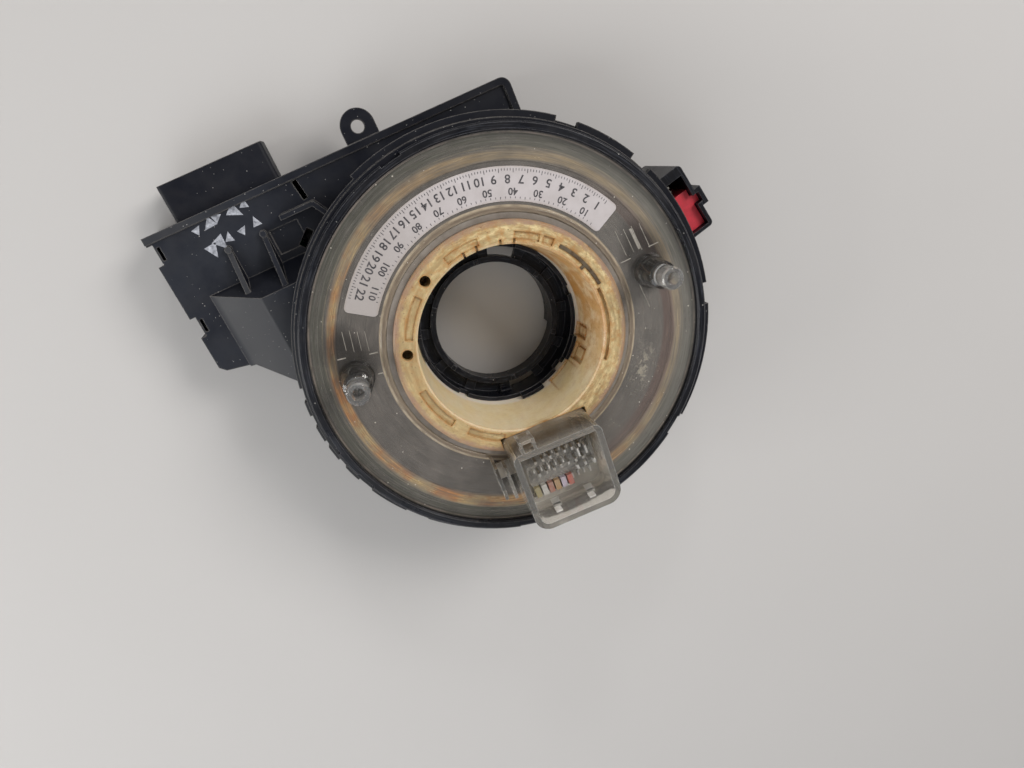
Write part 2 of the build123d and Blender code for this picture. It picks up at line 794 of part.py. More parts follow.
def light_barrier():
    """Fork on the circuit board that reads the code disc's windows."""
    start = code_disc_r - barrier_grip
    fork = turned_block(barrier_angle, (start, start + barrier_length), around(0, barrier_width),
                        (board_top_z, board_top_z + barrier_height))
    gap_z = shrunk((code_disc_z, code_disc_z + code_disc_thickness), -running_gap)
    return fork - rod(0, 0, code_disc_r + running_gap, *gap_z)


def code_disc():
    """Thin encoder disc pressed on the hub sleeve, with windows near its rim."""
    top_z = code_disc_z + code_disc_thickness
    plate = ring(code_disc_r, hub_r + press_gap, code_disc_z, top_z)
    window_r = code_disc_r - code_rim
    step = 360 / code_windows
    for i in range(code_windows):
        arc = around(i * step, step / 2)
        plate -= ring_sector(window_r, window_r - code_window_length, *arc, under_z, over_z)
    return plate


def ribbon_cable():
    """Flat ribbon wound loosely, drawn as half turns whose centres alternate."""
    half_step = (ribbon_end_r - ribbon_start_r - ribbon_thickness) / (2 * ribbon_turns)
    inner_line = []
    outer_line = []
    for i in range(2 * ribbon_turns):
        radius = ribbon_start_r + (i + 0.5) * half_step
        centre = (half_step / 2 * (1 if i % 2 else -1), 0)
        inner_line.append(CenterArc(centre, radius, 180 * (i % 2), 180))
        outer_line.append(CenterArc(centre, radius + ribbon_thickness, 180 * (i % 2), 180))
    ends = [Line(inner_line[0] @ 0, outer_line[0] @ 0), Line(inner_line[-1] @ 1, outer_line[-1] @ 1)]
    strip = Rot(0, 0, outer_end_angle) * make_face(Curve() + inner_line + outer_line + ends)
    return Pos(0, 0, ribbon_low_z) * extrude(strip, ribbon_width)


def ribbon_inner_end():
    """Terminal under the rotor disc that carries the ribbon's inner end to the connector."""
    outer = inner_end_r + inner_end_thickness
    terminal = turned_block(plug_angle, (0, outer), around(0, inner_end_width), (ribbon_low_z, disc_low_z))
    return terminal - rod(0, 0, inner_end_r, under_z, over_z)


def outer_end_cut():
    arc = shrunk(around(outer_end_angle, outer_end_arc), -fit_gap)
    return ring_sector(outer_end_r + outer_end_thickness + fit_gap, outer_end_r - fit_gap, *arc,
                       floor_z - 1, floor_top_z + 1)


def ribbon_outer_end():
    """Terminal that takes the ribbon's outer end down to the circuit board."""
    arc = around(outer_end_angle, outer_end_arc)
    return ring_sector(outer_end_r + outer_end_thickness, outer_end_r, *arc, board_top_z, ribbon_top_z)


# ---- rotor -------------------------------------------------------------------------------------------

def sleeve_profile():
    """Half section of the hub sleeve: tube, shelf with a skirt, and front flange."""
    shelf_low_z = hub_shelf_z - hub_shelf_thickness
    flange_low = hub_top_z - hub_flange_thickness
    rib_r = hub_r + hub_rib
    return Polyline(
        (hub_bore_r, 0), (hub_r, 0), (hub_r, bearing_top_z + hub_rib), (rib_r, bearing_top_z + 2 * hub_rib),
        (rib_r, shelf_low_z), (skirt_r, shelf_low_z), (skirt_r, ribbon_low_z), (collar_r, ribbon_low_z),
        (collar_r, hub_shelf_z), (rib_r, hub_shelf_z), (rib_r, flange_low), (hub_flange_r, flange_low),
        (hub_flange_r, hub_top_z - hub_edge), (hub_flange_r - hub_edge, hub_top_z),
        (hub_mouth_r + hub_edge, hub_top_z), (hub_mouth_r, hub_top_z - hub_edge),
        (hub_bore_r, drive_ring_height), close=True)


def hub_sleeve():
    sleeve = revolve(Plane.XZ * make_face(sleeve_profile()), Axis.Z)
    # seat of the connector's back wall, and the groove of the spring strip
    seat = (plug_inner - fit_gap, plug_outer)
    sleeve -= turned_block(plug_angle, seat, around(0, plug_width + 2 * fit_gap), (disc_top_z, over_z))
    sleeve -= detent_spring(press_gap)
    # slit and recesses in the flange
    slit_r = hub_mouth_r + hub_slit_width
    sleeve -= ring_sector(slit_r + hub_slit_width, slit_r, *hub_slit_arc, hub_top_z - hub_flange_thickness / 2,
                          over_z)
    for arc in hub_relief_arcs:
        sleeve -= ring_sector(hub_relief_r[1], hub_relief_r[0], *arc, hub_top_z - hub_relief, over_z)
    for angle in hub_hole_angles:
        sleeve -= rod(*polar(sum(hub_relief_r) / 2 + hub_relief, angle), hub_hole_r, hub_shelf_z, over_z)
    # pockets with a pad in each, a step in the tube, and thin tabs cut free at its mouth
    for arc, lift in zip(hub_pocket_arcs, hub_pocket_lifts):
        low_z = drive_ring_height + lift
        high_z = low_z + hub_pocket_height
        pad_r = hub_bore_r + hub_pocket_depth
        sleeve -= ring_sector(pad_r, shaft_r, *arc, low_z, high_z)
        sleeve += ring_sector(pad_r + press_gap, hub_bore_r + hub_step, *shrunk(arc, 2 * hub_pad_gap),
                              low_z + hub_pad_gap, high_z - hub_pad_gap)
    sleeve -= ring_sector(hub_bore_r + hub_step, shaft_r, *hub_step_arc, drive_ring_height + hub_step, hub_shelf_z)
    for start, end in hub_tab_arcs:
        for angle in (start, end):
            sleeve -= ring_sector(hub_mouth_r + hub_tab_width, shaft_r, *around(angle, hub_tab_width),
                                  hub_shelf_z + hub_shelf_thickness, over_z)
    return sleeve


def detent_spring(gap=0.0):
    """Flat spring strip let into the hub's flange, with a tail that points to the bore."""
    z = (hub_top_z - spring_height - gap, hub_top_z + spring_proud)
    half_width = spring_width / 2 + gap
    strip = ring_sector(spring_r + half_width, spring_r - half_width, *spring_arc, *z)
    tail_r = (spring_r - spring_tail - gap, spring_r)
    return strip + turned_block(spring_tail_angle, tail_r, around(0, 2 * half_width), z)


def drive_ring():
    """Ring in the hub sleeve that takes the steering shaft, with a slotted web and a long dog."""
    whole = ring(drive_ring_r, web_r, 0, drive_ring_height)
    for angle in gap_angles:
        whole -= ring_sector(hub_r, shaft_r, *around(angle, gap_arc), drive_ring_height - gap_depth, over_z)
    for angle in snap_angles:
        whole += ring_sector(drive_ring_r, drive_ring_r - snap_wall, *around(angle, snap_arc), web_lift,
                             drive_ring_height + snap_height)
    whole += ring(web_r + drive_ring_wall / 2, shaft_r, web_lift, web_lift + web_thickness)
    whole += ring(shaft_ring_r, shaft_r, 0, shaft_length)
    step = 360 / slot_count
    for i in range(slot_count):
        middle = slot_phase + (i + 0.5) * step
        floor = under_z if i in open_slots else web_lift + slot_floor
        whole -= ring_sector(web_r, shaft_ring_r, *around(middle, slot_arc), floor, over_z)
    # dog behind the ring, set back from the bore, and nubs on the ring's front edge
    whole += ring_sector(shaft_ring_r, shaft_space_r, *dog_arc, -dog_length, shaft_length / 2)
    for i in range(nub_count):
        middle = nub_phase + i * 360 / nub_count
        whole += ring_sector(shaft_ring_r, shaft_space_r, *around(middle, nub_arc), shaft_length / 2,
                             shaft_length + nub_height)
    return whole


def rotor_disc():
    """Clear disc with a collar, a grease track under it and two driver pins."""
    track_r = disc_r - track_space
    bead_z = disc_top_z + collar_bead
    half = Polyline(
        (collar_r, disc_top_z), (collar_r - collar_round, bead_z), (skirt_r + collar_round, bead_z),
        (skirt_r, disc_top_z), (skirt_r, hub_shelf_z), (collar_r, hub_shelf_z), (collar_r, disc_low_z),
        (track_r - track_width, disc_low_z), (track_r - track_width, disc_low_z - track_height),
        (track_r, disc_low_z - track_height), (track_r, disc_low_z), (disc_r, disc_low_z), (disc_r, disc_top_z),
        close=True)
    plate = revolve(Plane.XZ * make_face(half), Axis.Z)
    # flat seat of the connector and its guide slats
    seat_t = (slat_ts[-1] - slat_width, plug_width / 2 + fit_gap)
    plate -= turned_block(plug_angle, (plug_inner, plug_outer), seat_t, (disc_top_z, over_z))
    for angle, side in zip(pin_angles, (1, -1)):
        plate += Rot(0, 0, angle) * Pos(pin_ring_r, 0, 0) * (driver_pin() + pin_ribs(side))
    for angle in pin_angles:
        x, y = polar(pin_ring_r, angle)
        plate -= rod(x, y, pin_r - pin_wall, under_z, pin_shoulder_z - pin_wall)
    return plate


def driver_pin():
    """Hollow pin that the steering wheel pushes to turn the rotor, with a cup under the disc."""
    foot_z = disc_top_z + pin_wall
    half = Polyline(
        (0, disc_low_z - pin_cup_depth), (pin_foot_r, disc_low_z - pin_cup_depth), (pin_foot_r, foot_z),
        (pin_r + hub_edge, foot_z + pin_wall), (pin_r, pin_shoulder_z - hub_edge), (pin_tip_r, pin_shoulder_z),
        (pin_tip_r, pin_tip_z - edge_chamfer), (pin_tip_r - edge_chamfer, pin_tip_z), (pin_hole_r, pin_tip_z),
        (pin_hole_r, pin_shoulder_z + hub_edge), (0, pin_shoulder_z + hub_edge), close=True)
    return revolve(Plane.XZ * make_face(half), Axis.Z)


def pin_ribs(side):
    """Thin ribs and cross bars on the disc's underside beside a driver pin."""
    heights = (disc_low_z - pin_rib_height, disc_low_z + pin_wall)
    group = Part()
    for place in pin_rib_places:
        ends = sorted((side * pin_rib_start, side * (pin_rib_start + pin_rib_length)))
        group += block(around(place, pin_rib_width), ends, heights)
    for place, along in pin_bar_places:
        group += block(around(place, pin_foot_r / 2), around(side * along, pin_rib_width), heights)
    return group


def connector_block():
    """Clear connector shell with rounded front corners, latch windows, a latch loop and guide slats."""
    half = plug_width / 2
    back = plug_inner + plug_wall
    shell = block((plug_inner, plug_outer), (-half, half), (disc_top_z, plug_top_z))
    shell = fillet(shell.edges().filter_by(Axis.Z).sort_by(Axis.X)[-2:], plug_corner_r)
    shell = fillet(shell.edges().filter_by(Axis.Z).sort_by(Axis.X)[:2], plug_back_r)
    cavity = block((back, plug_outer - plug_wall), shrunk((-half, half), plug_wall), (plug_floor_z, over_z))
    shell -= fillet(cavity.edges().filter_by(Axis.Z).sort_by(Axis.X)[-2:], plug_corner_r - plug_wall)
    shelf = block((back + shelf_start, back + shelf_start + shelf_depth), shrunk((-half, half), 2 * plug_wall),
                  (plug_floor_z - plug_wall, shelf_top_z))
    shell += shelf
    rib_z = (plug_floor_z - plug_wall, shelf_top_z + web_rib_width)
    for t in web_t:
        shell += block((plug_inner, back + shelf_start + shelf_depth), around(t, web_rib_width), rib_z)
    for row in web_cross_rows:
        shell += block(around(plug_inner + row, web_rib_width), web_t, rib_z)
    for t in window_t:
        shell -= block((plug_outer - 2 * plug_wall, plug_outer + 1), around(t, latch_window_width),
                       (plug_floor_z + 1, plug_floor_z + 1 + latch_window_height))
    for i in range(blades_per_row):
        for row in blade_rows:
            shell -= blade_block(row, i, press_gap)
    loop = block((plug_inner - loop_reach, back), loop_t, (plug_top_z - loop_height, plug_top_z))
    shell += loop - block((plug_inner - loop_reach + web_rib_width, plug_inner), shrunk(loop_t, web_rib_width),
                          (under_z, over_z))
    for t, start, height in zip(slat_ts, slat_start, slat_height):
        shell += block((plug_inner + start, plug_inner + start + slat_length), around(t, slat_width),
                       (disc_top_z, disc_top_z + height))
    # foot that joins the guide slats to the shell
    foot_start = plug_inner + slat_start[0]
    shell += block((foot_start, foot_start + slat_length / 2), (slat_ts[-1], -half),
                   (disc_top_z, disc_top_z + slat_width))
    return Rot(0, 0, plug_angle) * shell


def blade_block(row, i, gap=0.0):
    """One contact blade in the connector's own directions."""
    t = (i - (blades_per_row - 1) / 2) * blade_pitch
    return block(shrunk(around(plug_inner + row, blade_along), -gap), shrunk(around(t, blade_across), -gap),
                 (plug_floor_z - gap, shelf_top_z + blade_height))


def connector_blades():
    group = Part()
    for row in blade_rows:
        for i in range(blades_per_row):
            group += blade_block(row, i)
    return Rot(0, 0, plug_angle) * group


def colour_sleeves():
    """Small coded sleeves in a row on the floor of the connector, in front of its shelf."""
    group = Part()
    for i in range(sleeve_count):
        t = sleeve_first_t + i * sleeve_pitch
        group += block(around(plug_inner + sleeve_row + sleeve_length / 2, sleeve_length), around(t, sleeve_size),
                       (plug_floor_z, plug_floor_z + sleeve_height))
    return Rot(0, 0, plug_angle) * group


def scale_sticker():
    label = sector(label_r + label_width, label_r, *label_arc)
    label = fillet(label.vertices(), label_corner_r)
    return Pos(0, 0, disc_top_z) * extrude(label, label_thickness)


def main():
    os.makedirs("parts", exist_ok=True)
    pieces = (
        stator_housing, retainer_ring, rear_cover, cover_screws, harness_socket, harness_pins, side_socket,
        red_insert, side_pins, circuit_board, board_chips, light_barrier, ribbon_outer_end, ribbon_cable,
        hub_sleeve, drive_ring, detent_spring, code_disc, rotor_disc, connector_block, connector_blades,
        colour_sleeves, ribbon_inner_end, scale_sticker)
    for piece in pieces:
        save(piece(), piece.__name__)


main()
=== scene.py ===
import bpy
import bmesh
import json
import math
from mathutils import Matrix, Vector


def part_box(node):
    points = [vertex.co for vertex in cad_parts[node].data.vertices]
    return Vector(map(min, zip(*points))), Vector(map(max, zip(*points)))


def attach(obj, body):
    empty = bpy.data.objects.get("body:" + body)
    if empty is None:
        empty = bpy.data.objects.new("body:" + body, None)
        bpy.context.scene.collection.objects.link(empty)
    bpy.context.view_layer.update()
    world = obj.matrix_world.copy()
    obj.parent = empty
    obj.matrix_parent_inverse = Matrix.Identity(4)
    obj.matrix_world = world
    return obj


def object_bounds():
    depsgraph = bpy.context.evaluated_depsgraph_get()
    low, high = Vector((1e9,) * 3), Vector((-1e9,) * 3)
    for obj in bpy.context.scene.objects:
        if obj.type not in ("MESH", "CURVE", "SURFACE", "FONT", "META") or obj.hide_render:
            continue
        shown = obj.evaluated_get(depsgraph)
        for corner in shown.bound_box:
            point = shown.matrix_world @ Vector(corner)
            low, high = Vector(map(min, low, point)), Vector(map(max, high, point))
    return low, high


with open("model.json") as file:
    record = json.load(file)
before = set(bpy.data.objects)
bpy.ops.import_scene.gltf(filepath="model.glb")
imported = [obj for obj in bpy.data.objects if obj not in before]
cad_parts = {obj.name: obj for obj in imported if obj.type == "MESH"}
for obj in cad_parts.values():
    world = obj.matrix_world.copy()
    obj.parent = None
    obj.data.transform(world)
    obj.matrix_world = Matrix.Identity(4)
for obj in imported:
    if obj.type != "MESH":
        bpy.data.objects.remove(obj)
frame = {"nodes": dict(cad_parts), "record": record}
nodes = frame["nodes"]
cadLow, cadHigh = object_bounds()
mm = 0.001
# direction of the connector from the turning axis, in degrees
connectorAngle = -94.2

# camera place and directions in the frame's own axes, millimetres
view = {"place": (-19.70, 56.74, 216.76), "right": (0.8966, -0.3889, 0.2113), "up": (0.4364, 0.8564, -0.2758),
        "back": (-0.0737, 0.3395, 0.9377), "lens": 26.37, "sensor": 36.0, "near": 5.0}

room = {"floorColour": (0.545, 0.532, 0.522), "floorSize": 1500.0, "floorDrop": 0.1,
        "floorPatch": 60.0, "floorGrain": 0.8, "floorShade": 0.97, "floorRoughness": 0.75,
        "zenith": (1.0, 0.985, 0.97), "horizon": (0.62, 0.62, 0.63), "strength": 0.37,
        "skyHeight": (-0.2, 0.9),
        "lamps": ({"name": "key", "place": (700, 320, 720), "size": 420, "power": 6.4,
                   "colour": (1.0, 0.97, 0.94)},
                  {"name": "fill", "place": (-500, -420, 640), "size": 600, "power": 2.6,
                   "colour": (0.94, 0.97, 1.0)},
                  {"name": "side", "place": (-620, 60, 190), "size": 320, "power": 2.1,
                   "colour": (1.0, 0.99, 0.97)},
                  {"name": "window", "place": (150, 600, 330), "size": 85, "power": 0.55,
                   "colour": (1.0, 1.0, 1.0)})}


def turnTo(place):
    # a lamp at this place looks at the middle of the frame
    away = Vector(place).normalized()
    return Matrix.Translation(Vector(place) * mm) @ away.to_track_quat("Z", "Y").to_matrix().to_4x4()


def makeCamera():
    data = bpy.data.cameras.new("camera")
    data.lens = view["lens"]
    data.sensor_width = view["sensor"]
    data.clip_start = view["near"] * mm
    camera = bpy.data.objects.new("camera", data)
    turn = Matrix((view["right"], view["up"], view["back"])).transposed().to_quaternion()
    camera.matrix_world = Matrix.Translation(Vector(view["place"]) * mm) @ turn.to_matrix().to_4x4()
    bpy.context.scene.collection.objects.link(camera)
    bpy.context.scene.camera = camera


def makeLights():
    world = bpy.data.worlds.new("room")
    world.use_nodes = True
    tree = world.node_tree
    backdrop = tree.nodes["Background"]
    where = tree.nodes.new("ShaderNodeTexCoord").outputs["Generated"]
    height = spread(tree, partsOf(tree, where)[2], *room["skyHeight"])
    sky = mixColours(tree, height, room["horizon"], room["zenith"])
    tree.links.new(sky, backdrop.inputs["Color"])
    backdrop.inputs["Strength"].default_value = room["strength"]
    bpy.context.scene.world = world
    for lamp in room["lamps"]:
        data = bpy.data.lights.new(lamp["name"], "AREA")
        data.size = lamp["size"] * mm
        data.energy = lamp["power"]
        data.color = lamp["colour"]
        light = bpy.data.objects.new(lamp["name"], data)
        light.matrix_world = turnTo(lamp["place"])
        bpy.context.scene.collection.objects.link(light)


# material building blocks

def setInput(tree, node, key, value):
    if isinstance(value, bpy.types.NodeSocket):
        tree.links.new(value, node.inputs[key])
    elif isinstance(value, tuple) and len(value) == 3 and node.inputs[key].type == "RGBA":
        node.inputs[key].default_value = (*value, 1.0)
    else:
        node.inputs[key].default_value = value


def addNode(tree, kind, settings, inputs):
    node = tree.nodes.new(kind)
    for name, value in settings.items():
        setattr(node, name, value)
    for key, value in inputs.items():
        setInput(tree, node, key, value)
    return node


def startMaterial(name):
    material = bpy.data.materials.new(name)
    material.use_nodes = True
    tree = material.node_tree
    return material, tree, tree.nodes["Principled BSDF"]


def vectorCalc(tree, operation, inputs, output=0):
    return addNode(tree, "ShaderNodeVectorMath", {"operation": operation}, inputs).outputs[output]


def partsOf(tree, vector):
    # the x, y and z of a vector
    return addNode(tree, "ShaderNodeSeparateXYZ", {}, {0: vector}).outputs


def vectorOf(tree, x=0.0, y=0.0, z=0.0):
    return addNode(tree, "ShaderNodeCombineXYZ", {}, {0: x, 1: y, 2: z}).outputs[0]


def objectPlace(tree):
    # place on the part in millimetres
    coordinates = tree.nodes.new("ShaderNodeTexCoord").outputs["Object"]
    return vectorCalc(tree, "SCALE", {0: coordinates, "Scale": 1 / mm})


def calc(tree, operation, first, second=0.0, third=0.0):
    inputs = {0: first, 1: second, 2: third}
    return addNode(tree, "ShaderNodeMath", {"operation": operation}, inputs).outputs[0]


def times(tree, *values):
    # all the values multiplied together
    product = values[0]
    for value in values[1:]:
        product = calc(tree, "MULTIPLY", product, value)
    return product


def noiseOf(tree, place, size, detail=3.0, roughness=0.55, stretch=(1, 1, 1)):
    # soft noise whose patches are about this many millimetres across
    scaled = vectorCalc(tree, "MULTIPLY", {0: place, 1: stretch})
    inputs = {"Vector": scaled, "Scale": 1 / size, "Detail": detail, "Roughness": roughness}
    return addNode(tree, "ShaderNodeTexNoise", {}, inputs).outputs[0]


def cellsOf(tree, place, size, feature="F1"):
    inputs = {"Vector": place, "Scale": 1 / size}
    return addNode(tree, "ShaderNodeTexVoronoi", {"feature": feature}, inputs).outputs


def spread(tree, value, low, high, start=0.0, end=1.0):
    # value from low to high becomes start to end, held at both ends
    return addNode(tree, "ShaderNodeMapRange", {}, {0: value, 1: low, 2: high, 3: start, 4: end}).outputs[0]


def mixColours(tree, factor, first, second, blend="MIX"):
    node = tree.nodes.new("ShaderNodeMix")
    node.data_type = "RGBA"
    node.blend_type = blend
    setInput(tree, node, 0, factor)
    setInput(tree, node, 6, first)
    setInput(tree, node, 7, second)
    return node.outputs[2]


def tinted(tree, colour, shade, *masks):
    # the colour turned to the shade where all the masks are high
    return mixColours(tree, times(tree, *masks), colour, shade)


def cloudy(tree, cloud, first, second):
    # the first colour, going over to the second in the noise's high patches
    return mixColours(tree, spread(tree, cloud, 0.35, 0.7), first, second)


def rampOf(tree, value, stops, interpolation="LINEAR"):
    node = tree.nodes.new("ShaderNodeValToRGB")
    node.color_ramp.interpolation = interpolation
    elements = node.color_ramp.elements
    while len(elements) < len(stops):
        elements.new(0.5)
    for element, (position, colour) in zip(elements, stops):
        element.position = position
        element.color = (*colour, 1.0)
    tree.links.new(value, node.inputs[0])
    return node.outputs[0]


def polarOf(tree, place):
    # distance from the turning axis, x and y of the direction away from it, and height
    flat = vectorCalc(tree, "MULTIPLY", {0: place, 1: (1, 1, 0)})
    radius = vectorCalc(tree, "LENGTH", {0: flat}, 1)
    direction = partsOf(tree, vectorCalc(tree, "NORMALIZE", {0: flat}))
    return radius, direction[0], direction[1], partsOf(tree, place)[2]


def alongAngle(tree, place, degrees):
    # how far the place lies in the direction of this angle
    angle = math.radians(degrees)
    return vectorCalc(tree, "DOT_PRODUCT", {0: place, 1: (math.cos(angle), math.sin(angle), 0)}, 1)


def sweptPlace(tree, radius, x, y, around):
    # a place for long marks that follow the turning of the rotor
    return vectorOf(tree, radius, times(tree, x, around), times(tree, y, around))


def band(tree, value, low, high, soft):
    # 1 between low and high, falling to 0 over the soft width
    rise = spread(tree, value, low - soft, low)
    fall = spread(tree, value, high, high + soft, 1.0, 0.0)
    return times(tree, rise, fall)


def sideOf(tree, x, y, degrees, low, high):
    # 1 in the direction of this angle, 0 away from it
    angle = math.radians(degrees)
    turned = calc(tree, "ADD", times(tree, x, math.cos(angle)), times(tree, y, math.sin(angle)))
    return spread(tree, turned, low, high)


def roundedNormal(tree, radius):
    return addNode(tree, "ShaderNodeBevel", {"samples": 4}, {"Radius": radius * mm}).outputs[0]


def bumped(tree, height, strength, distance, normal=None):
    inputs = {"Strength": strength, "Distance": distance * mm, "Height": height}
    if normal is not None:
        inputs["Normal"] = normal
    return addNode(tree, "ShaderNodeBump", {}, inputs).outputs[0]


def edgeMask(tree, normal, flat=0.998, sharp=0.86):
    # how far the rounded normal leans away from the face: 0 on flats, towards 1 on edges
    face = tree.nodes.new("ShaderNodeNewGeometry").outputs["True Normal"]
    lean = vectorCalc(tree, "DOT_PRODUCT", {0: normal, 1: face}, 1)
    return spread(tree, lean, flat, sharp)


def upwardMask(tree, steep=0.2, level=0.95):
    facing = tree.nodes.new("ShaderNodeNewGeometry").outputs["Normal"]
    return spread(tree, partsOf(tree, facing)[2], steep, level)


def speckMask(tree, place, size, share, smallest=0.04, largest=0.13):
    # small round dots, one in some of the cells
    cells = cellsOf(tree, place, size)
    chance = addNode(tree, "ShaderNodeSeparateColor", {}, {0: cells[1]}).outputs
    chosen = calc(tree, "LESS_THAN", chance[0], share)
    reach = spread(tree, chance[1], 0.0, 1.0, smallest, largest)
    return times(tree, calc(tree, "LESS_THAN", cells[0], reach), chosen, upwardMask(tree))


def nearAxis(tree, place, x, y, wide, tall, inner):
    # 1 round an upright line at x and y, falling to 0 at the ellipse that is this wide and tall
    away = vectorCalc(tree, "SUBTRACT", {0: place, 1: (x, y, 0)})
    scaled = vectorCalc(tree, "MULTIPLY", {0: away, 1: (1 / wide, 1 / tall, 0)})
    return spread(tree, vectorCalc(tree, "LENGTH", {0: scaled}, 1), 1.0, inner)


def setShader(tree, shader, inputs):
    for key, value in inputs.items():
        setInput(tree, shader, key, value)


housingPlastic = {"deep": (0.0034, 0.0044, 0.0092), "worn": (0.0085, 0.0098, 0.0155),
                  "edge": (0.17, 0.16, 0.15), "dust": (0.13, 0.12, 0.105), "speck": (0.50, 0.49, 0.47),
                  "edgeRound": 0.4, "patch": 14.0, "grain": 0.28, "speckSize": 0.95, "speckShare": 0.36,
                  "roughness": (0.36, 0.56), "dustAmount": 0.06, "shine": 0.18,
                  "paintedSheen": (0.024, 0.027, 0.036), "paintedSheenX": (-22.0, -48.0), "paintedSheenZ": (9.4, 10.6),
                  "ramp": (0.070, 0.071, 0.073), "rampX": (-46.0, -62.0), "rampZ": (11.3, 12.6),
                  "turned": 0.0, "groove": (0.03, 0.034, 0.045)}
ringPlastic = {"deep": (0.0028, 0.0034, 0.006), "worn": (0.0065, 0.0072, 0.011),
               "edge": (0.14, 0.14, 0.15), "dust": (0.11, 0.095, 0.075), "speck": (0.40, 0.39, 0.37),
               "edgeRound": 0.3, "patch": 9.0, "grain": 0.22, "speckSize": 1.6, "speckShare": 0.26,
               "roughness": (0.22, 0.4), "dustAmount": 0.07, "shine": 0.22,
               "paintedSheen": (0.012, 0.013, 0.018), "paintedSheenX": (-30.0, -70.0), "paintedSheenZ": (9.4, 10.6),
               "ramp": (0.02, 0.02, 0.025), "rampX": (-80.0, -90.0), "rampZ": (40.0, 41.0),
               "turned": 0.75, "groove": (0.035, 0.038, 0.048)}
# how strongly each kind of wear and each painted sheen shows on both dark plastics, and how fine it is in
# millimetres
darkWearAndSheen = {"paintedSheen": 0.75, "ramp": 0.8, "speck": 0.65, "filmRoughness": 0.15, "grainShare": 0.7,
            "scratchShare": 0.3, "scratchSize": 0.5, "scratchRun": (0.05, 1.0, 0.3), "grooveSize": 0.32,
            "rubSize": 1.8, "filmSize": 5.5, "bump": 0.35, "bumpHeight": 0.05}


def darkPlastic(name, look):
    # near-black moulded plastic: rounded and rubbed edges, fine grain, dust film and specks, painted sheen
    # towards one end and on the ramp
    material, tree, shader = startMaterial(name)
    place = objectPlace(tree)
    rounded = roundedNormal(tree, look["edgeRound"])
    cloud = noiseOf(tree, place, look["patch"], 4.0, 0.6)
    fine = noiseOf(tree, place, look["grain"], 2.0, 0.6)
    scratch = noiseOf(tree, place, darkWearAndSheen["scratchSize"], 2.0, 0.7, darkWearAndSheen["scratchRun"])
    colour = cloudy(tree, cloud, look["deep"], look["worn"])
    radius, x, y, height = polarOf(tree, place)
    across = partsOf(tree, place)[0]
    # painted sheen: the top faces are painted lighter towards -X, in patches
    paintedSheen = times(tree, spread(tree, across, *look["paintedSheenX"]), spread(tree, cloud, 0.3, 0.6, 0.55, 1.0),
                    spread(tree, height, *look["paintedSheenZ"]), upwardMask(tree))
    colour = tinted(tree, colour, look["paintedSheen"], paintedSheen, darkWearAndSheen["paintedSheen"])
    # painted sheen: the ramp's upward faces are painted lighter, as if they caught the light
    ramp = times(tree, spread(tree, across, *look["rampX"]), spread(tree, height, *look["rampZ"]))
    colour = tinted(tree, colour, look["ramp"], ramp, upwardMask(tree), darkWearAndSheen["ramp"])
    marks = noiseOf(tree, sweptPlace(tree, radius, x, y, 2.0), darkWearAndSheen["grooveSize"], 3.0, 0.6)
    marks = spread(tree, marks, 0.52, 0.64)
    colour = tinted(tree, colour, look["groove"], marks, upwardMask(tree), look["turned"])
    rub = spread(tree, noiseOf(tree, place, darkWearAndSheen["rubSize"]), 0.3, 0.55, 0.4, 1.0)
    colour = tinted(tree, colour, look["edge"], edgeMask(tree, rounded), rub)
    film = spread(tree, noiseOf(tree, place, darkWearAndSheen["filmSize"], 5.0, 0.65), 0.4, 0.78)
    film = times(tree, film, upwardMask(tree))
    colour = tinted(tree, colour, look["dust"], film, look["dustAmount"])
    specks = speckMask(tree, place, look["speckSize"], look["speckShare"])
    colour = tinted(tree, colour, look["speck"], specks, darkWearAndSheen["speck"])
    rough = spread(tree, cloud, 0.3, 0.75, *look["roughness"])
    rough = calc(tree, "ADD", rough, times(tree, film, darkWearAndSheen["filmRoughness"]))
    relief = calc(tree, "ADD", times(tree, fine, darkWearAndSheen["grainShare"]),
                  times(tree, scratch, darkWearAndSheen["scratchShare"]))
    normal = bumped(tree, relief, darkWearAndSheen["bump"], darkWearAndSheen["bumpHeight"], rounded)
    setShader(tree, shader, {"Base Color": colour, "Roughness": rough, "Normal": normal,
                             "Specular IOR Level": look["shine"]})
    return material


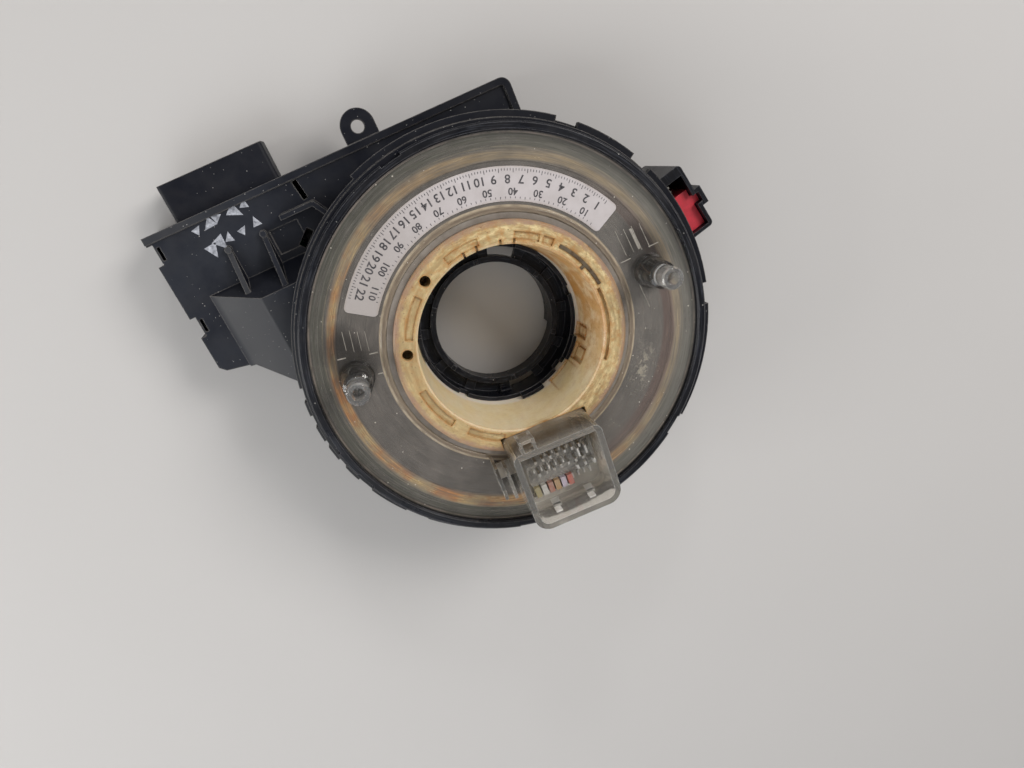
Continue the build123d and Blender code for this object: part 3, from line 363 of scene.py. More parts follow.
clearDisc = {"clear": (0.42, 0.385, 0.355), "haze": (0.29, 0.27, 0.25), "grease": (0.46, 0.335, 0.165),
             "rust": (0.46, 0.215, 0.08), "outer": (0.18, 0.176, 0.148), "pink": (0.38, 0.27, 0.24),
             "collar": (0.40, 0.315, 0.225), "smear": (0.58, 0.53, 0.40), "speck": (0.65, 0.60, 0.52),
             "dark": (0.035, 0.03, 0.026), "glass": (0.97, 0.965, 0.95), "lit": (0.78, 0.75, 0.70),
             "litAngle": -12.0, "rustAngle": -160.0, "pinkAngle": -25.0, "smearAngle": -38.0,
             "litAmount": 0.2, "collarAmount": 0.85, "pinkAmount": 0.7, "faintAmount": 0.16,
             "heavyAmount": 0.6, "streakAmount": 0.75, "hollowShadeAmount": 0.72, "speckAmount": 0.8,
             "waviness": 3.4,
             "streakTint": ((0.62, 0.61, 0.60), (1.0, 0.985, 0.95)),
             "greaseBand": (45.5, 47.4), "outerBand": (48.6, 52.6), "collarBand": (31.0, 34.3),
             "greaseTop": (30.0, 28.5), "pinkBand": (43.0, 45.0),
             "smearBand": (36.5, 43.5), "heavyBand": (37.3, 40.4),
             # thin lines at the steps, as radius, width, colour and strength: the light ones painted
             # highlights, the dark ones plain dark lines
             "lines": ((34.1, 0.42, (0.72, 0.60, 0.44), 0.95), (32.7, 0.3, (0.62, 0.54, 0.43), 0.9),
                       (33.4, 0.25, (0.22, 0.165, 0.12), 0.7), (44.9, 0.14, (0.08, 0.06, 0.04), 0.5),
                       (48.35, 0.16, (0.46, 0.40, 0.29), 0.6), (49.6, 0.12, (0.36, 0.35, 0.30), 0.5),
                       (50.9, 0.12, (0.32, 0.32, 0.28), 0.5), (51.7, 0.3, (0.56, 0.47, 0.41), 0.8)),
             "lineSoft": 0.12, "pins": ((41.2, 0.5), (-40.3, 8.6)), "pinFoot": (28.6, 28.9),
             "pinCircle": (36.0, 36.2), "pinTip": (39.0, 41.5), "pinShade": (7.0, 11.5), "pinShadeUp": 4.5,
             "pinShadeCore": 0.55, "transmission": 0.66,
             "coveredLoss": 0.5, "outerLoss": 0.2, "collarLoss": 0.3,
             "roughness": (0.06, 0.30), "edgeRound": 0.18, "bump": 0.09, "bumpHeight": 0.1, "bend": 1.49}


def clearPlastic(name, look):
    # clear plastic gone grey-brown, with a ring of old grease, fine marks that run round it, painted light on
    # one side, painted highlights at its steps and painted shade round the pins
    material, tree, shader = startMaterial(name)
    place = objectPlace(tree)
    radius, x, y, height = polarOf(tree, place)
    swept = sweptPlace(tree, radius, x, y, 3.0)
    streaks = noiseOf(tree, swept, 0.7, 5.0, 0.7)
    slow = noiseOf(tree, swept, 3.5, 3.0, 0.5)
    cloud = noiseOf(tree, place, 7.0, 4.0, 0.6)
    colour = cloudy(tree, cloud, look["clear"], look["haze"])
    outer = band(tree, radius, *look["outerBand"], 1.2)
    outer = times(tree, outer, spread(tree, streaks, 0.35, 0.55, 0.3, 1.0))
    colour = tinted(tree, colour, look["outer"], outer)
    # painted light: the side towards litAngle is painted lighter
    lit = sideOf(tree, x, y, look["litAngle"], -0.1, 0.9)
    colour = tinted(tree, colour, look["lit"], lit, look["litAmount"])
    collar = band(tree, radius, *look["collarBand"], 0.3)
    colour = tinted(tree, colour, look["collar"], collar, look["collarAmount"])
    # old grease, thickest and rustiest on one side
    sway = times(tree, calc(tree, "SUBTRACT", slow, 0.5), look["waviness"])
    wavy = calc(tree, "ADD", radius, sway)
    left = sideOf(tree, x, y, look["rustAngle"], -0.6, 0.8)
    grease = times(tree, band(tree, wavy, *look["greaseBand"], 0.8),
                   spread(tree, streaks, 0.3, 0.58, 0.3, 1.0), spread(tree, left, 0.0, 1.0, 0.6, 1.0),
                   spread(tree, height, *look["greaseTop"]))
    rusty = times(tree, left, spread(tree, cloud, 0.42, 0.58))
    colour = tinted(tree, colour, mixColours(tree, rusty, look["grease"], look["rust"]), grease)
    pinkRing = band(tree, wavy, *look["pinkBand"], 0.7)
    right = sideOf(tree, x, y, look["pinkAngle"], 0.2, 0.95)
    colour = tinted(tree, colour, look["pink"], pinkRing, right, look["pinkAmount"])
    blotch = spread(tree, noiseOf(tree, place, 2.2, 5.0, 0.7), 0.53, 0.62)
    faint = times(tree, blotch, band(tree, radius, *look["smearBand"], 1.0),
                  sideOf(tree, x, y, look["smearAngle"], 0.93, 0.99), look["faintAmount"])
    heavy = times(tree, blotch, band(tree, radius, *look["heavyBand"], 0.7),
                  sideOf(tree, x, y, look["smearAngle"], 0.985, 0.998), look["heavyAmount"])
    smear = calc(tree, "MAXIMUM", faint, heavy)
    colour = tinted(tree, colour, look["smear"], smear)
    # fine turned marks, and thin lines at its steps: the light ones are painted highlights on the step edges,
    # the two dark ones plain dark lines
    fine = noiseOf(tree, sweptPlace(tree, radius, x, y, 1.6), 0.22, 3.0, 0.6)
    tint = mixColours(tree, spread(tree, fine, 0.35, 0.62), *look["streakTint"])
    colour = mixColours(tree, look["streakAmount"], colour, tint, "MULTIPLY")
    worn = spread(tree, noiseOf(tree, place, 4.0, 3.0), 0.35, 0.6, 0.25, 1.0)
    for middle, wide, shade, strength in look["lines"]:
        line = band(tree, radius, middle - wide / 2, middle + wide / 2, look["lineSoft"])
        colour = tinted(tree, colour, shade, line, worn, strength)
    # painted shade in the hollows round the driver pins, dark where one looks deep into them; glass-clear
    # above the disc's face
    wide, tall = look["pinShade"]
    for pinX, pinY in look["pins"]:
        hollowShade = nearAxis(tree, place, pinX, pinY + look["pinShadeUp"], wide, tall, look["pinShadeCore"])
        colour = tinted(tree, colour, look["dark"], hollowShade, look["hollowShadeAmount"])
    specks = speckMask(tree, place, 1.5, 0.3)
    colour = tinted(tree, colour, look["speck"], specks, look["speckAmount"])
    pin = times(tree, spread(tree, height, *look["pinFoot"]), spread(tree, radius, *look["pinCircle"]))
    colour = tinted(tree, colour, look["glass"], pin)
    covered = calc(tree, "MAXIMUM", calc(tree, "MAXIMUM", smear, specks), grease)
    clearness = look["transmission"]
    for mask, loss in ((covered, "coveredLoss"), (outer, "outerLoss"), (collar, "collarLoss")):
        clearness = calc(tree, "SUBTRACT", clearness, times(tree, mask, look[loss]))
    frost = spread(tree, height, *look["pinTip"], 0.99, 0.9)
    clearness = calc(tree, "MAXIMUM", clearness, times(tree, pin, frost))
    rough = spread(tree, calc(tree, "ADD", streaks, times(tree, grease, 0.3)), 0.3, 0.9, *look["roughness"])
    rough = times(tree, rough, spread(tree, pin, 0.0, 1.0, 1.0, 0.15))
    relief = times(tree, calc(tree, "ADD", streaks, fine), calc(tree, "SUBTRACT", 1.0, pin))
    rounded = roundedNormal(tree, look["edgeRound"])
    normal = bumped(tree, relief, look["bump"], look["bumpHeight"], rounded)
    setShader(tree, shader, {"Base Color": colour, "Roughness": rough, "Normal": normal,
                             "Transmission Weight": clearness, "IOR": look["bend"]})
    return material


clearConnector = {"clear": (0.91, 0.875, 0.81), "dirt": (0.72, 0.61, 0.465), "edge": (0.98, 0.97, 0.95),
                  "brown": (0.42, 0.335, 0.23), "edgeRound": 0.11, "transmission": 0.88,
                  "edgeTransmission": 0.05, "roughness": (0.02, 0.10), "bump": 0.1, "leastDirt": 0.06,
                  "milk": 0.58}
frostedRib = {"clear": (0.72, 0.70, 0.67), "dirt": (0.50, 0.46, 0.41), "edge": (0.90, 0.89, 0.87),
              "brown": (0.5, 0.45, 0.38), "edgeRound": 0.1, "transmission": 0.22,
              "edgeTransmission": 0.1, "roughness": (0.3, 0.5), "bump": 0.15, "leastDirt": 0.12,
              "milk": 0.0}
# the same in the connector's shell and in its ribs
connectorWear = {"hubWall": (33.4, 31.2), "brownTop": (42.5, 38.5), "lowZ": (36.0, 27.5), "lowDirt": 0.45,
                 "dirtLoss": 0.3, "bumpSize": 1.6, "bumpHeight": 0.12, "bend": 1.49}


def connectorPlastic(name, look):
    # clear moulded shell: painted highlights along its rims, brown film low down and on the wall by the hub
    material, tree, shader = startMaterial(name)
    place = objectPlace(tree)
    height = partsOf(tree, place)[2]
    outwards = alongAngle(tree, place, connectorAngle)
    cloud = noiseOf(tree, place, 4.0, 4.0, 0.6)
    fine = noiseOf(tree, place, 0.9, 5.0, 0.7)
    rounded = roundedNormal(tree, look["edgeRound"])
    # painted highlight: bright, nearly opaque rims along the edges, broken up by noise
    rim = times(tree, edgeMask(tree, rounded), spread(tree, fine, 0.3, 0.5, 0.5, 1.0))
    low = spread(tree, height, *connectorWear["lowZ"])
    dirt = calc(tree, "ADD", times(tree, low, connectorWear["lowDirt"]), look["leastDirt"])
    dirt = times(tree, dirt, spread(tree, fine, 0.35, 0.65))
    colour = mixColours(tree, dirt, look["clear"], look["dirt"])
    hubWall = times(tree, spread(tree, outwards, *connectorWear["hubWall"]),
                    spread(tree, height, *connectorWear["brownTop"]))
    colour = tinted(tree, colour, look["brown"], hubWall, spread(tree, cloud, 0.3, 0.6, 0.6, 1.0))
    colour = tinted(tree, colour, look["edge"], rim)
    clearness = spread(tree, rim, 0.0, 1.0, look["transmission"], look["edgeTransmission"])
    clearness = calc(tree, "SUBTRACT", clearness, times(tree, dirt, connectorWear["dirtLoss"]))
    clearness = calc(tree, "SUBTRACT", clearness, times(tree, low, look["milk"]))
    rough = spread(tree, cloud, 0.3, 0.75, *look["roughness"])
    waves = noiseOf(tree, place, connectorWear["bumpSize"], 2.0, 0.5)
    normal = bumped(tree, waves, look["bump"], connectorWear["bumpHeight"], rounded)
    setShader(tree, shader, {"Base Color": colour, "Roughness": rough, "Normal": normal,
                             "Transmission Weight": clearness, "IOR": connectorWear["bend"]})
    return material


ivoryLook = {"cream": (0.74, 0.60, 0.325), "tan": (0.40, 0.285, 0.135), "stain": (0.42, 0.19, 0.045),
             "pale": (0.78, 0.665, 0.45), "dark": (0.13, 0.055, 0.022), "rosy": (0.34, 0.215, 0.15),
             "orange": (0.50, 0.225, 0.045), "pad": (0.80, 0.74, 0.66), "edgeRound": 0.25, "grimeReach": 0.9,
             "tubeRadius": (25.6, 25.2), "padRadius": (21.4, 23.4), "padTop": (27.5, 26.5),
             "tubeDrop": (27.0, 9.0), "rimBand": (30.0, 33.0), "orangeAngle": 12.0, "shadeSideAngle": 172.0,
             "upperAngle": 40.0, "shadeSideAmount": 0.75, "stainAmount": 0.85, "padAmount": 0.85,
             "roughness": (0.3, 0.5), "stainRelief": 0.4, "bump": 0.35, "bumpHeight": 0.12,
             "underSkin": 0.08, "skinDepth": 2.0}


def ivoryPlastic(name, look):
    # ivory plastic, paler inside the tube, stained orange-brown by old grease, with painted shade on one side
    # of the flange
    material, tree, shader = startMaterial(name)
    place = objectPlace(tree)
    radius, x, y, height = polarOf(tree, place)
    rounded = roundedNormal(tree, look["edgeRound"])
    inside = spread(tree, radius, *look["tubeRadius"])
    cloud = noiseOf(tree, place, 5.0, 5.0, 0.6)
    mottle = noiseOf(tree, place, 1.3, 6.0, 0.75)
    swept = noiseOf(tree, sweptPlace(tree, radius, x, y, 6.0), 1.2, 5.0, 0.7)
    flange = mixColours(tree, spread(tree, swept, 0.38, 0.6), look["cream"], look["tan"])
    tube = mixColours(tree, spread(tree, cloud, 0.4, 0.75), look["pale"], look["cream"])
    colour = mixColours(tree, inside, flange, tube)
    # painted shade: the flange is painted darker on the side towards the shade angle
    paintedShadeSide = times(tree, sideOf(tree, x, y, look["shadeSideAngle"], -0.1, 0.9),
                     calc(tree, "SUBTRACT", 1.0, inside), spread(tree, cloud, 0.35, 0.6, 0.4, 1.0))
    colour = tinted(tree, colour, look["tan"], paintedShadeSide, look["shadeSideAmount"])
    # orange film deep in the tube on one side, and stains all over that side
    deep = times(tree, inside, sideOf(tree, x, y, look["orangeAngle"], 0.35, 0.95),
                 spread(tree, height, *look["tubeDrop"], 0.7, 1.0), spread(tree, cloud, 0.36, 0.54, 0.3, 1.0))
    colour = tinted(tree, colour, look["orange"], deep)
    orangeSide = sideOf(tree, x, y, look["orangeAngle"], 0.2, 0.9)
    cleanTube = times(tree, inside, calc(tree, "SUBTRACT", 1.0, orangeSide))
    stains = times(tree, spread(tree, noiseOf(tree, place, 2.2, 6.0, 0.75), 0.47, 0.62),
                   spread(tree, cleanTube, 0.0, 1.0, 1.0, 0.3))
    upperSide = spread(tree, sideOf(tree, x, y, look["upperAngle"], -1.0, 0.9), 0.0, 1.0, 0.35, 0.85)
    colour = tinted(tree, colour, look["stain"], stains, upperSide, look["stainAmount"])
    flecks = spread(tree, mottle, 0.48, 0.62)
    colour = tinted(tree, colour, look["tan"], flecks, spread(tree, inside, 0.0, 1.0, 0.5, 0.1))
    # pads in the tube's pockets stay light, and grime collects along every edge and step
    pads = times(tree, band(tree, radius, *look["padRadius"], 0.1), spread(tree, height, *look["padTop"]))
    colour = tinted(tree, colour, look["pad"], pads, inside, look["padAmount"])
    grime = edgeMask(tree, roundedNormal(tree, look["grimeReach"]))
    patches = spread(tree, noiseOf(tree, place, 1.6, 4.0, 0.65), 0.3, 0.5, 0.3, 1.0)
    colour = tinted(tree, colour, look["stain"], grime, patches)
    ragged = calc(tree, "ADD", radius, spread(tree, mottle, 0.3, 0.7, -0.5, 0.5))
    rim = band(tree, ragged, *look["rimBand"], 0.6)
    colour = tinted(tree, colour, look["rosy"], rim, spread(tree, cloud, 0.35, 0.6, 0.4, 0.9))
    pits = spread(tree, noiseOf(tree, place, 0.9, 3.0, 0.6), 0.64, 0.72)
    colour = tinted(tree, colour, look["dark"], pits, spread(tree, inside, 0.0, 1.0, 0.7, 0.15))
    rough = spread(tree, cloud, 0.3, 0.7, *look["roughness"])
    relief = calc(tree, "ADD", swept, times(tree, stains, look["stainRelief"]))
    normal = bumped(tree, relief, look["bump"], look["bumpHeight"], rounded)
    setShader(tree, shader, {"Base Color": colour, "Roughness": rough, "Normal": normal,
                             "Subsurface Weight": look["underSkin"],
                             "Subsurface Scale": look["skinDepth"] * mm})
    return material


redLook = {"bright": (0.66, 0.038, 0.06), "dull": (0.50, 0.028, 0.045), "scuff": (0.92, 0.42, 0.42),
           "edgeRound": 0.3, "scuffAmount": 0.6, "roughness": (0.28, 0.5), "bump": 0.3, "bumpHeight": 0.04,
           "underSkin": 0.1, "skinDepth": 1.0}


def redPlastic(name, look):
    # red insert, scuffed pale along its edges
    material, tree, shader = startMaterial(name)
    place = objectPlace(tree)
    rounded = roundedNormal(tree, look["edgeRound"])
    cloud = noiseOf(tree, place, 2.5, 4.0, 0.6)
    colour = cloudy(tree, cloud, look["bright"], look["dull"])
    rub = times(tree, edgeMask(tree, rounded), spread(tree, noiseOf(tree, place, 0.8), 0.45, 0.7))
    colour = tinted(tree, colour, look["scuff"], rub, look["scuffAmount"])
    normal = bumped(tree, noiseOf(tree, place, 0.3), look["bump"], look["bumpHeight"], rounded)
    setShader(tree, shader, {"Base Color": colour, "Normal": normal,
                             "Roughness": spread(tree, cloud, 0.3, 0.7, *look["roughness"]),
                             "Subsurface Weight": look["underSkin"],
                             "Subsurface Scale": look["skinDepth"] * mm})
    return material


paperLook = {"paper": (0.56, 0.52, 0.525), "aged": (0.46, 0.42, 0.415), "dirt": (0.33, 0.26, 0.2),
             "shaded": (0.37, 0.335, 0.315), "shadedAngle": 150.0, "shadedAmount": 0.8, "fibre": 0.35,
             "innerBorder": (35.9, 35.2), "outerBorder": (43.1, 43.7), "markAmount": 0.45,
             "roughness": (0.5, 0.7), "bump": 0.25, "bumpHeight": 0.03}


def labelPaper(name, look):
    # aged paper, shaded at one end and grimy along its borders
    material, tree, shader = startMaterial(name)
    place = objectPlace(tree)
    radius, x, y = polarOf(tree, place)[:3]
    cloud = noiseOf(tree, place, 6.0, 5.0, 0.6)
    fibre = noiseOf(tree, place, look["fibre"], 3.0, 0.7)
    colour = mixColours(tree, spread(tree, cloud, 0.3, 0.75), look["paper"], look["aged"])
    shaded = sideOf(tree, x, y, look["shadedAngle"], 0.55, 0.98)
    colour = tinted(tree, colour, look["shaded"], shaded, look["shadedAmount"])
    border = calc(tree, "MAXIMUM", spread(tree, radius, *look["innerBorder"]),
                  spread(tree, radius, *look["outerBorder"]))
    grime = times(tree, border, spread(tree, fibre, 0.4, 0.6, 0.1, 0.5))
    marks = spread(tree, noiseOf(tree, place, 1.1, 4.0, 0.7), 0.68, 0.76)
    dirt = calc(tree, "MAXIMUM", grime, times(tree, marks, look["markAmount"]))
    colour = tinted(tree, colour, look["dirt"], dirt)
    setShader(tree, shader, {"Base Color": colour,
                             "Roughness": spread(tree, cloud, 0.3, 0.7, *look["roughness"]),
                             "Normal": bumped(tree, fibre, look["bump"], look["bumpHeight"])})
    return material


contactLook = {"bright": (0.80, 0.78, 0.74), "tarnish": (0.52, 0.46, 0.38), "patch": 1.5,
               "lines": (1, 1, 0.1), "roughness": (0.18, 0.36)}
springLook = {"bright": (0.30, 0.24, 0.17), "tarnish": (0.10, 0.06, 0.035), "patch": 2.0,
              "lines": (0.2, 0.2, 1), "roughness": (0.3, 0.5)}
steelLook = {"bright": (0.60, 0.60, 0.61), "tarnish": (0.36, 0.35, 0.33), "patch": 2.0,
             "lines": (1, 1, 0.2), "roughness": (0.25, 0.45)}
# drawn lines and soft edges, the same on every metal
metalSurface = {"lineSize": 0.12, "edgeRound": 0.08, "bump": 0.3, "bumpHeight": 0.02}


def metalFinish(name, look):
    # plated or rolled metal with fine drawn lines and a little tarnish
    material, tree, shader = startMaterial(name)
    place = objectPlace(tree)
    cloud = noiseOf(tree, place, look["patch"], 4.0, 0.6)
    drawn = noiseOf(tree, place, metalSurface["lineSize"], 2.0, 0.6, look["lines"])
    colour = cloudy(tree, cloud, look["bright"], look["tarnish"])
    rough = spread(tree, cloud, 0.3, 0.75, *look["roughness"])
    rounded = roundedNormal(tree, metalSurface["edgeRound"])
    normal = bumped(tree, drawn, metalSurface["bump"], metalSurface["bumpHeight"], rounded)
    setShader(tree, shader, {"Base Color": colour, "Metallic": 1.0, "Roughness": rough, "Normal": normal})
    return material


boardLook = {"mask": (0.018, 0.10, 0.045), "track": (0.03, 0.16, 0.075), "cell": 2.4, "gap": (0.06, 0.1),
             "roughness": (0.25, 0.45), "bump": 0.4, "bumpHeight": 0.05}


def boardFinish(name, look):
    # green solder mask with tracks between its cells
    material, tree, shader = startMaterial(name)
    place = objectPlace(tree)
    cells = cellsOf(tree, place, look["cell"], "DISTANCE_TO_EDGE")[0]
    tracks = spread(tree, cells, *look["gap"], 1.0, 0.0)
    colour = mixColours(tree, tracks, look["mask"], look["track"])
    rough = spread(tree, noiseOf(tree, place, 3.0), 0.3, 0.7, *look["roughness"])
    setShader(tree, shader, {"Base Color": colour, "Roughness": rough,
                             "Normal": bumped(tree, tracks, look["bump"], look["bumpHeight"])})
    return material


ribbonLook = {"film": (0.20, 0.15, 0.09), "copper": (0.42, 0.20, 0.085), "first": 12.2, "pitch": 2.0,
              "trackShare": (0.25, 0.75), "trackSoft": 0.04, "copperAmount": 0.8, "roughness": (0.2, 0.4),
              "bump": 0.3, "bumpHeight": 0.03}


def ribbonFinish(name, look):
    # polyester film with flat copper tracks that run along it
    material, tree, shader = startMaterial(name)
    place = objectPlace(tree)
    height = partsOf(tree, place)[2]
    turns = calc(tree, "DIVIDE", calc(tree, "SUBTRACT", height, look["first"]), look["pitch"])
    track = band(tree, calc(tree, "FRACT", turns), *look["trackShare"], look["trackSoft"])
    cloud = noiseOf(tree, place, 3.0)
    colour = tinted(tree, look["film"], look["copper"], track, look["copperAmount"])
    setShader(tree, shader, {"Base Color": colour,
                             "Roughness": spread(tree, cloud, 0.3, 0.7, *look["roughness"]),
                             "Normal": bumped(tree, track, look["bump"], look["bumpHeight"])})
    return material


sleeveLook = {"first": -8.95, "pitch": 1.9, "film": (0.34, 0.31, 0.27),
              "filmAmount": (0.25, 0.65), "roughness": (0.25, 0.45), "bump": 0.3, "bumpHeight": 0.05,
              "colours": ((0.30, 0.25, 0.10), (0.62, 0.61, 0.58), (0.33, 0.08, 0.045),
                          (0.42, 0.22, 0.06), (0.50, 0.43, 0.55), (0.52, 0.07, 0.045))}


def sleeveFinish(name, look):
    # one colour for each sleeve, by its place across the connector
    material, tree, shader = startMaterial(name)
    place = objectPlace(tree)
    across = alongAngle(tree, place, connectorAngle + 90)
    count = len(look["colours"])
    share = spread(tree, across, look["first"], look["first"] + count * look["pitch"])
    stops = [(i / count, colour) for i, colour in enumerate(look["colours"])]
    colour = rampOf(tree, share, stops, "CONSTANT")
    cloud = noiseOf(tree, place, 0.8)
    film = spread(tree, cloud, 0.35, 0.7, *look["filmAmount"])
    colour = tinted(tree, colour, look["film"], film)
    setShader(tree, shader, {"Base Color": colour,
                             "Roughness": spread(tree, cloud, 0.3, 0.7, *look["roughness"]),
                             "Normal": bumped(tree, cloud, look["bump"], look["bumpHeight"])})
    return material


def floorFinish():
    material, tree, shader = startMaterial("floorPaint")
    place = objectPlace(tree)
    cloud = noiseOf(tree, place, room["floorPatch"], 3.0, 0.5)
    shade = tuple(room["floorShade"] * value for value in room["floorColour"])
    colour = mixColours(tree, cloud, room["floorColour"], shade)
    grain = noiseOf(tree, place, room["floorGrain"])
    setShader(tree, shader, {"Base Color": colour, "Roughness": room["floorRoughness"],
                             "Normal": bumped(tree, grain, 0.1, 0.1)})
    return material


def makeFloor():
    mesh = bpy.data.meshes.new("floor")
    tool = bmesh.new()
    bmesh.ops.create_grid(tool, x_segments=1, y_segments=1, size=room["floorSize"] * mm)
    tool.to_mesh(mesh)
    tool.free()
    floor = bpy.data.objects.new("floor", mesh)
    floor.location.z = cadLow.z - room["floorDrop"] * mm
    bpy.context.scene.collection.objects.link(floor)
    mesh.materials.append(floorFinish())


def dressNodes():
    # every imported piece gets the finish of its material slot, and the connector's shell its own
    finishes = {
        "housing_plastic": darkPlastic("housingPlastic", housingPlastic),
        "ring_plastic": darkPlastic("ringPlastic", ringPlastic),
        "clear_plastic": clearPlastic("clearDisc", clearDisc),
        "ivory_plastic": ivoryPlastic("ivoryPlastic", ivoryLook),
        "red_plastic": redPlastic("redPlastic", redLook),
        "coded_plastic": sleeveFinish("sleevePlastic", sleeveLook),
        "label_paper": labelPaper("labelPaper", paperLook),
        "contact_metal": metalFinish("contactMetal", contactLook),
        "spring_metal": metalFinish("springMetal", springLook),
        "screw_steel": metalFinish("screwSteel", steelLook),
        "board_green": boardFinish("boardGreen", boardLook),
        "ribbon_film": ribbonFinish("ribbonFilm", ribbonLook),
    }
    for part in frame["record"]["subparts"]:
        mesh = nodes[part["node"]].data
        mesh.materials.clear()
        mesh.materials.append(finishes[part["material_slot"]])
    shell = nodes["connector_block"].data
    shell.materials.clear()
    shell.materials.append(connectorPlastic("clearConnector", clearConnector))


def startGeometry(name, inputs):
    # an empty geometry tree, with its inputs' titles given under the socket type that they share
    tree = bpy.data.node_groups.new(name, "GeometryNodeTree")
    tree.interface.new_socket(name="Geometry", in_out="OUTPUT", socket_type="NodeSocketGeometry")
    for kind, titles in inputs.items():
        for title in titles:
            tree.interface.new_socket(name=title, in_out="INPUT", socket_type="NodeSocket" + kind)
    return tree, tree.nodes.new("NodeGroupInput").outputs, tree.nodes.new("NodeGroupOutput")


def aboutZ(tree, angle):
    # a rotation by this angle about the upright axis
    return addNode(tree, "FunctionNodeEulerToRotation", {}, {0: vectorOf(tree, z=angle)}).outputs[0]


def moved(tree, geometry, settings):
    return addNode(tree, "GeometryNodeSetPosition", {}, {"Geometry": geometry, **settings}).outputs[0]


def instancesOf(tree, points, shape, turn, size):
    inputs = {"Points": points, "Instance": shape, "Rotation": turn, "Scale": size}
    return addNode(tree, "GeometryNodeInstanceOnPoints", {}, inputs).outputs[0]


def chanceOf(tree, low, high, seed):
    # a random number for each point
    inputs = {2: low, 3: high, "Seed": seed}
    return addNode(tree, "FunctionNodeRandomValue", {"data_type": "FLOAT"}, inputs).outputs[1]


def bakeGeometry(name, tree, values, body):
    # run the tree once and keep its result as a plain mesh on this body
    maker = bpy.data.objects.new(name + "Maker", bpy.data.meshes.new(name + "Maker"))
    bpy.context.scene.collection.objects.link(maker)
    modifier = maker.modifiers.new("shape", "NODES")
    modifier.node_group = tree
    for item in tree.interface.items_tree:
        if item.in_out == "INPUT":
            modifier[item.identifier] = values[item.name]
    shaped = maker.evaluated_get(bpy.context.evaluated_depsgraph_get())
    mesh = bpy.data.meshes.new_from_object(shaped)
    bpy.data.objects.remove(maker)
    return addPiece(name, mesh, body)


def addPiece(name, mesh, body):
    piece = bpy.data.objects.new(name, mesh)
    bpy.context.scene.collection.objects.link(piece)
    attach(piece, body)
    return piece


def endGeometry(tree, geometry, material, output):
    # instances become real faces and get their material
    real = addNode(tree, "GeometryNodeRealizeInstances", {}, {0: geometry}).outputs[0]
    inputs = {"Geometry": real, "Material": material}
    painted = addNode(tree, "GeometryNodeSetMaterial", {}, inputs).outputs[0]
    tree.links.new(painted, output.inputs[0])


def ticksTree():
    # small bars round an arc, every so many a long one, each reaching inwards from the radius
    floats = ("Radius", "First Angle", "Step", "Short", "Long", "Width", "Thickness", "Base")
    inputs = {"Float": floats, "Int": ("Count", "Long Every"), "Material": ("Ink",)}
    tree, given, output = startGeometry("ticksOnAnArc", inputs)
    points = addNode(tree, "GeometryNodeMeshLine", {}, {"Count": given["Count"]}).outputs[0]
    index = tree.nodes.new("GeometryNodeInputIndex").outputs[0]
    angle = calc(tree, "MULTIPLY_ADD", index, given["Step"], given["First Angle"])
    isLong = calc(tree, "LESS_THAN", calc(tree, "FLOORED_MODULO", index, given["Long Every"]), 0.5)
    length = addNode(tree, "ShaderNodeMix", {"data_type": "FLOAT"},
                     {0: isLong, 2: given["Short"], 3: given["Long"]}).outputs[0]
    middle = calc(tree, "SUBTRACT", given["Radius"], times(tree, length, 0.5))
    place = vectorOf(tree, times(tree, middle, calc(tree, "COSINE", angle)),
                     times(tree, middle, calc(tree, "SINE", angle)), given["Base"])
    placed = moved(tree, points, {"Position": place})
    size = vectorOf(tree, length, given["Width"], given["Thickness"])
    bar = tree.nodes.new("GeometryNodeMeshCube").outputs[0]
    endGeometry(tree, instancesOf(tree, placed, bar, aboutZ(tree, angle), size), given["Ink"], output)
    return tree


def barsTree():
    # a row of bars with their undersides at the first place's height, and a little chance in their size
    inputs = {"Vector": ("First", "Step", "Size"), "Float": ("Turn", "Unevenness"), "Int": ("Count", "Seed"),
              "Material": ("Material",)}
    tree, given, output = startGeometry("barsInARow", inputs)
    row = {"Count": given["Count"], "Start Location": given["First"], "Offset": given["Step"]}
    points = addNode(tree, "GeometryNodeMeshLine", {}, row).outputs[0]
    chance = chanceOf(tree, calc(tree, "SUBTRACT", 1.0, given["Unevenness"]), 1.0, given["Seed"])
    size = vectorCalc(tree, "MULTIPLY", {0: given["Size"], 1: vectorOf(tree, chance, 1.0, chance)})
    bar = tree.nodes.new("GeometryNodeMeshCube").outputs[0]
    halfUp = {"Geometry": bar, "Translation": (0, 0, 0.5)}
    lifted = addNode(tree, "GeometryNodeTransform", {}, halfUp).outputs[0]
    bars = instancesOf(tree, points, lifted, aboutZ(tree, given["Turn"]), size)
    endGeometry(tree, bars, given["Material"], output)
    return tree


def inkFinish(name, look):
    # printed or stencilled paint, worn thin in patches
    material, tree, shader = startMaterial(name)
    place = objectPlace(tree)
    wear = spread(tree, noiseOf(tree, place, look["patch"], 4.0, 0.7), 0.35, 0.7)
    colour = mixColours(tree, wear, look["fresh"], look["worn"])
    setShader(tree, shader, {"Base Color": colour, "Roughness": spread(tree, wear, 0.0, 1.0, 0.45, 0.65),
                             "Normal": bumped(tree, wear, 0.2, 0.02)})
    return material


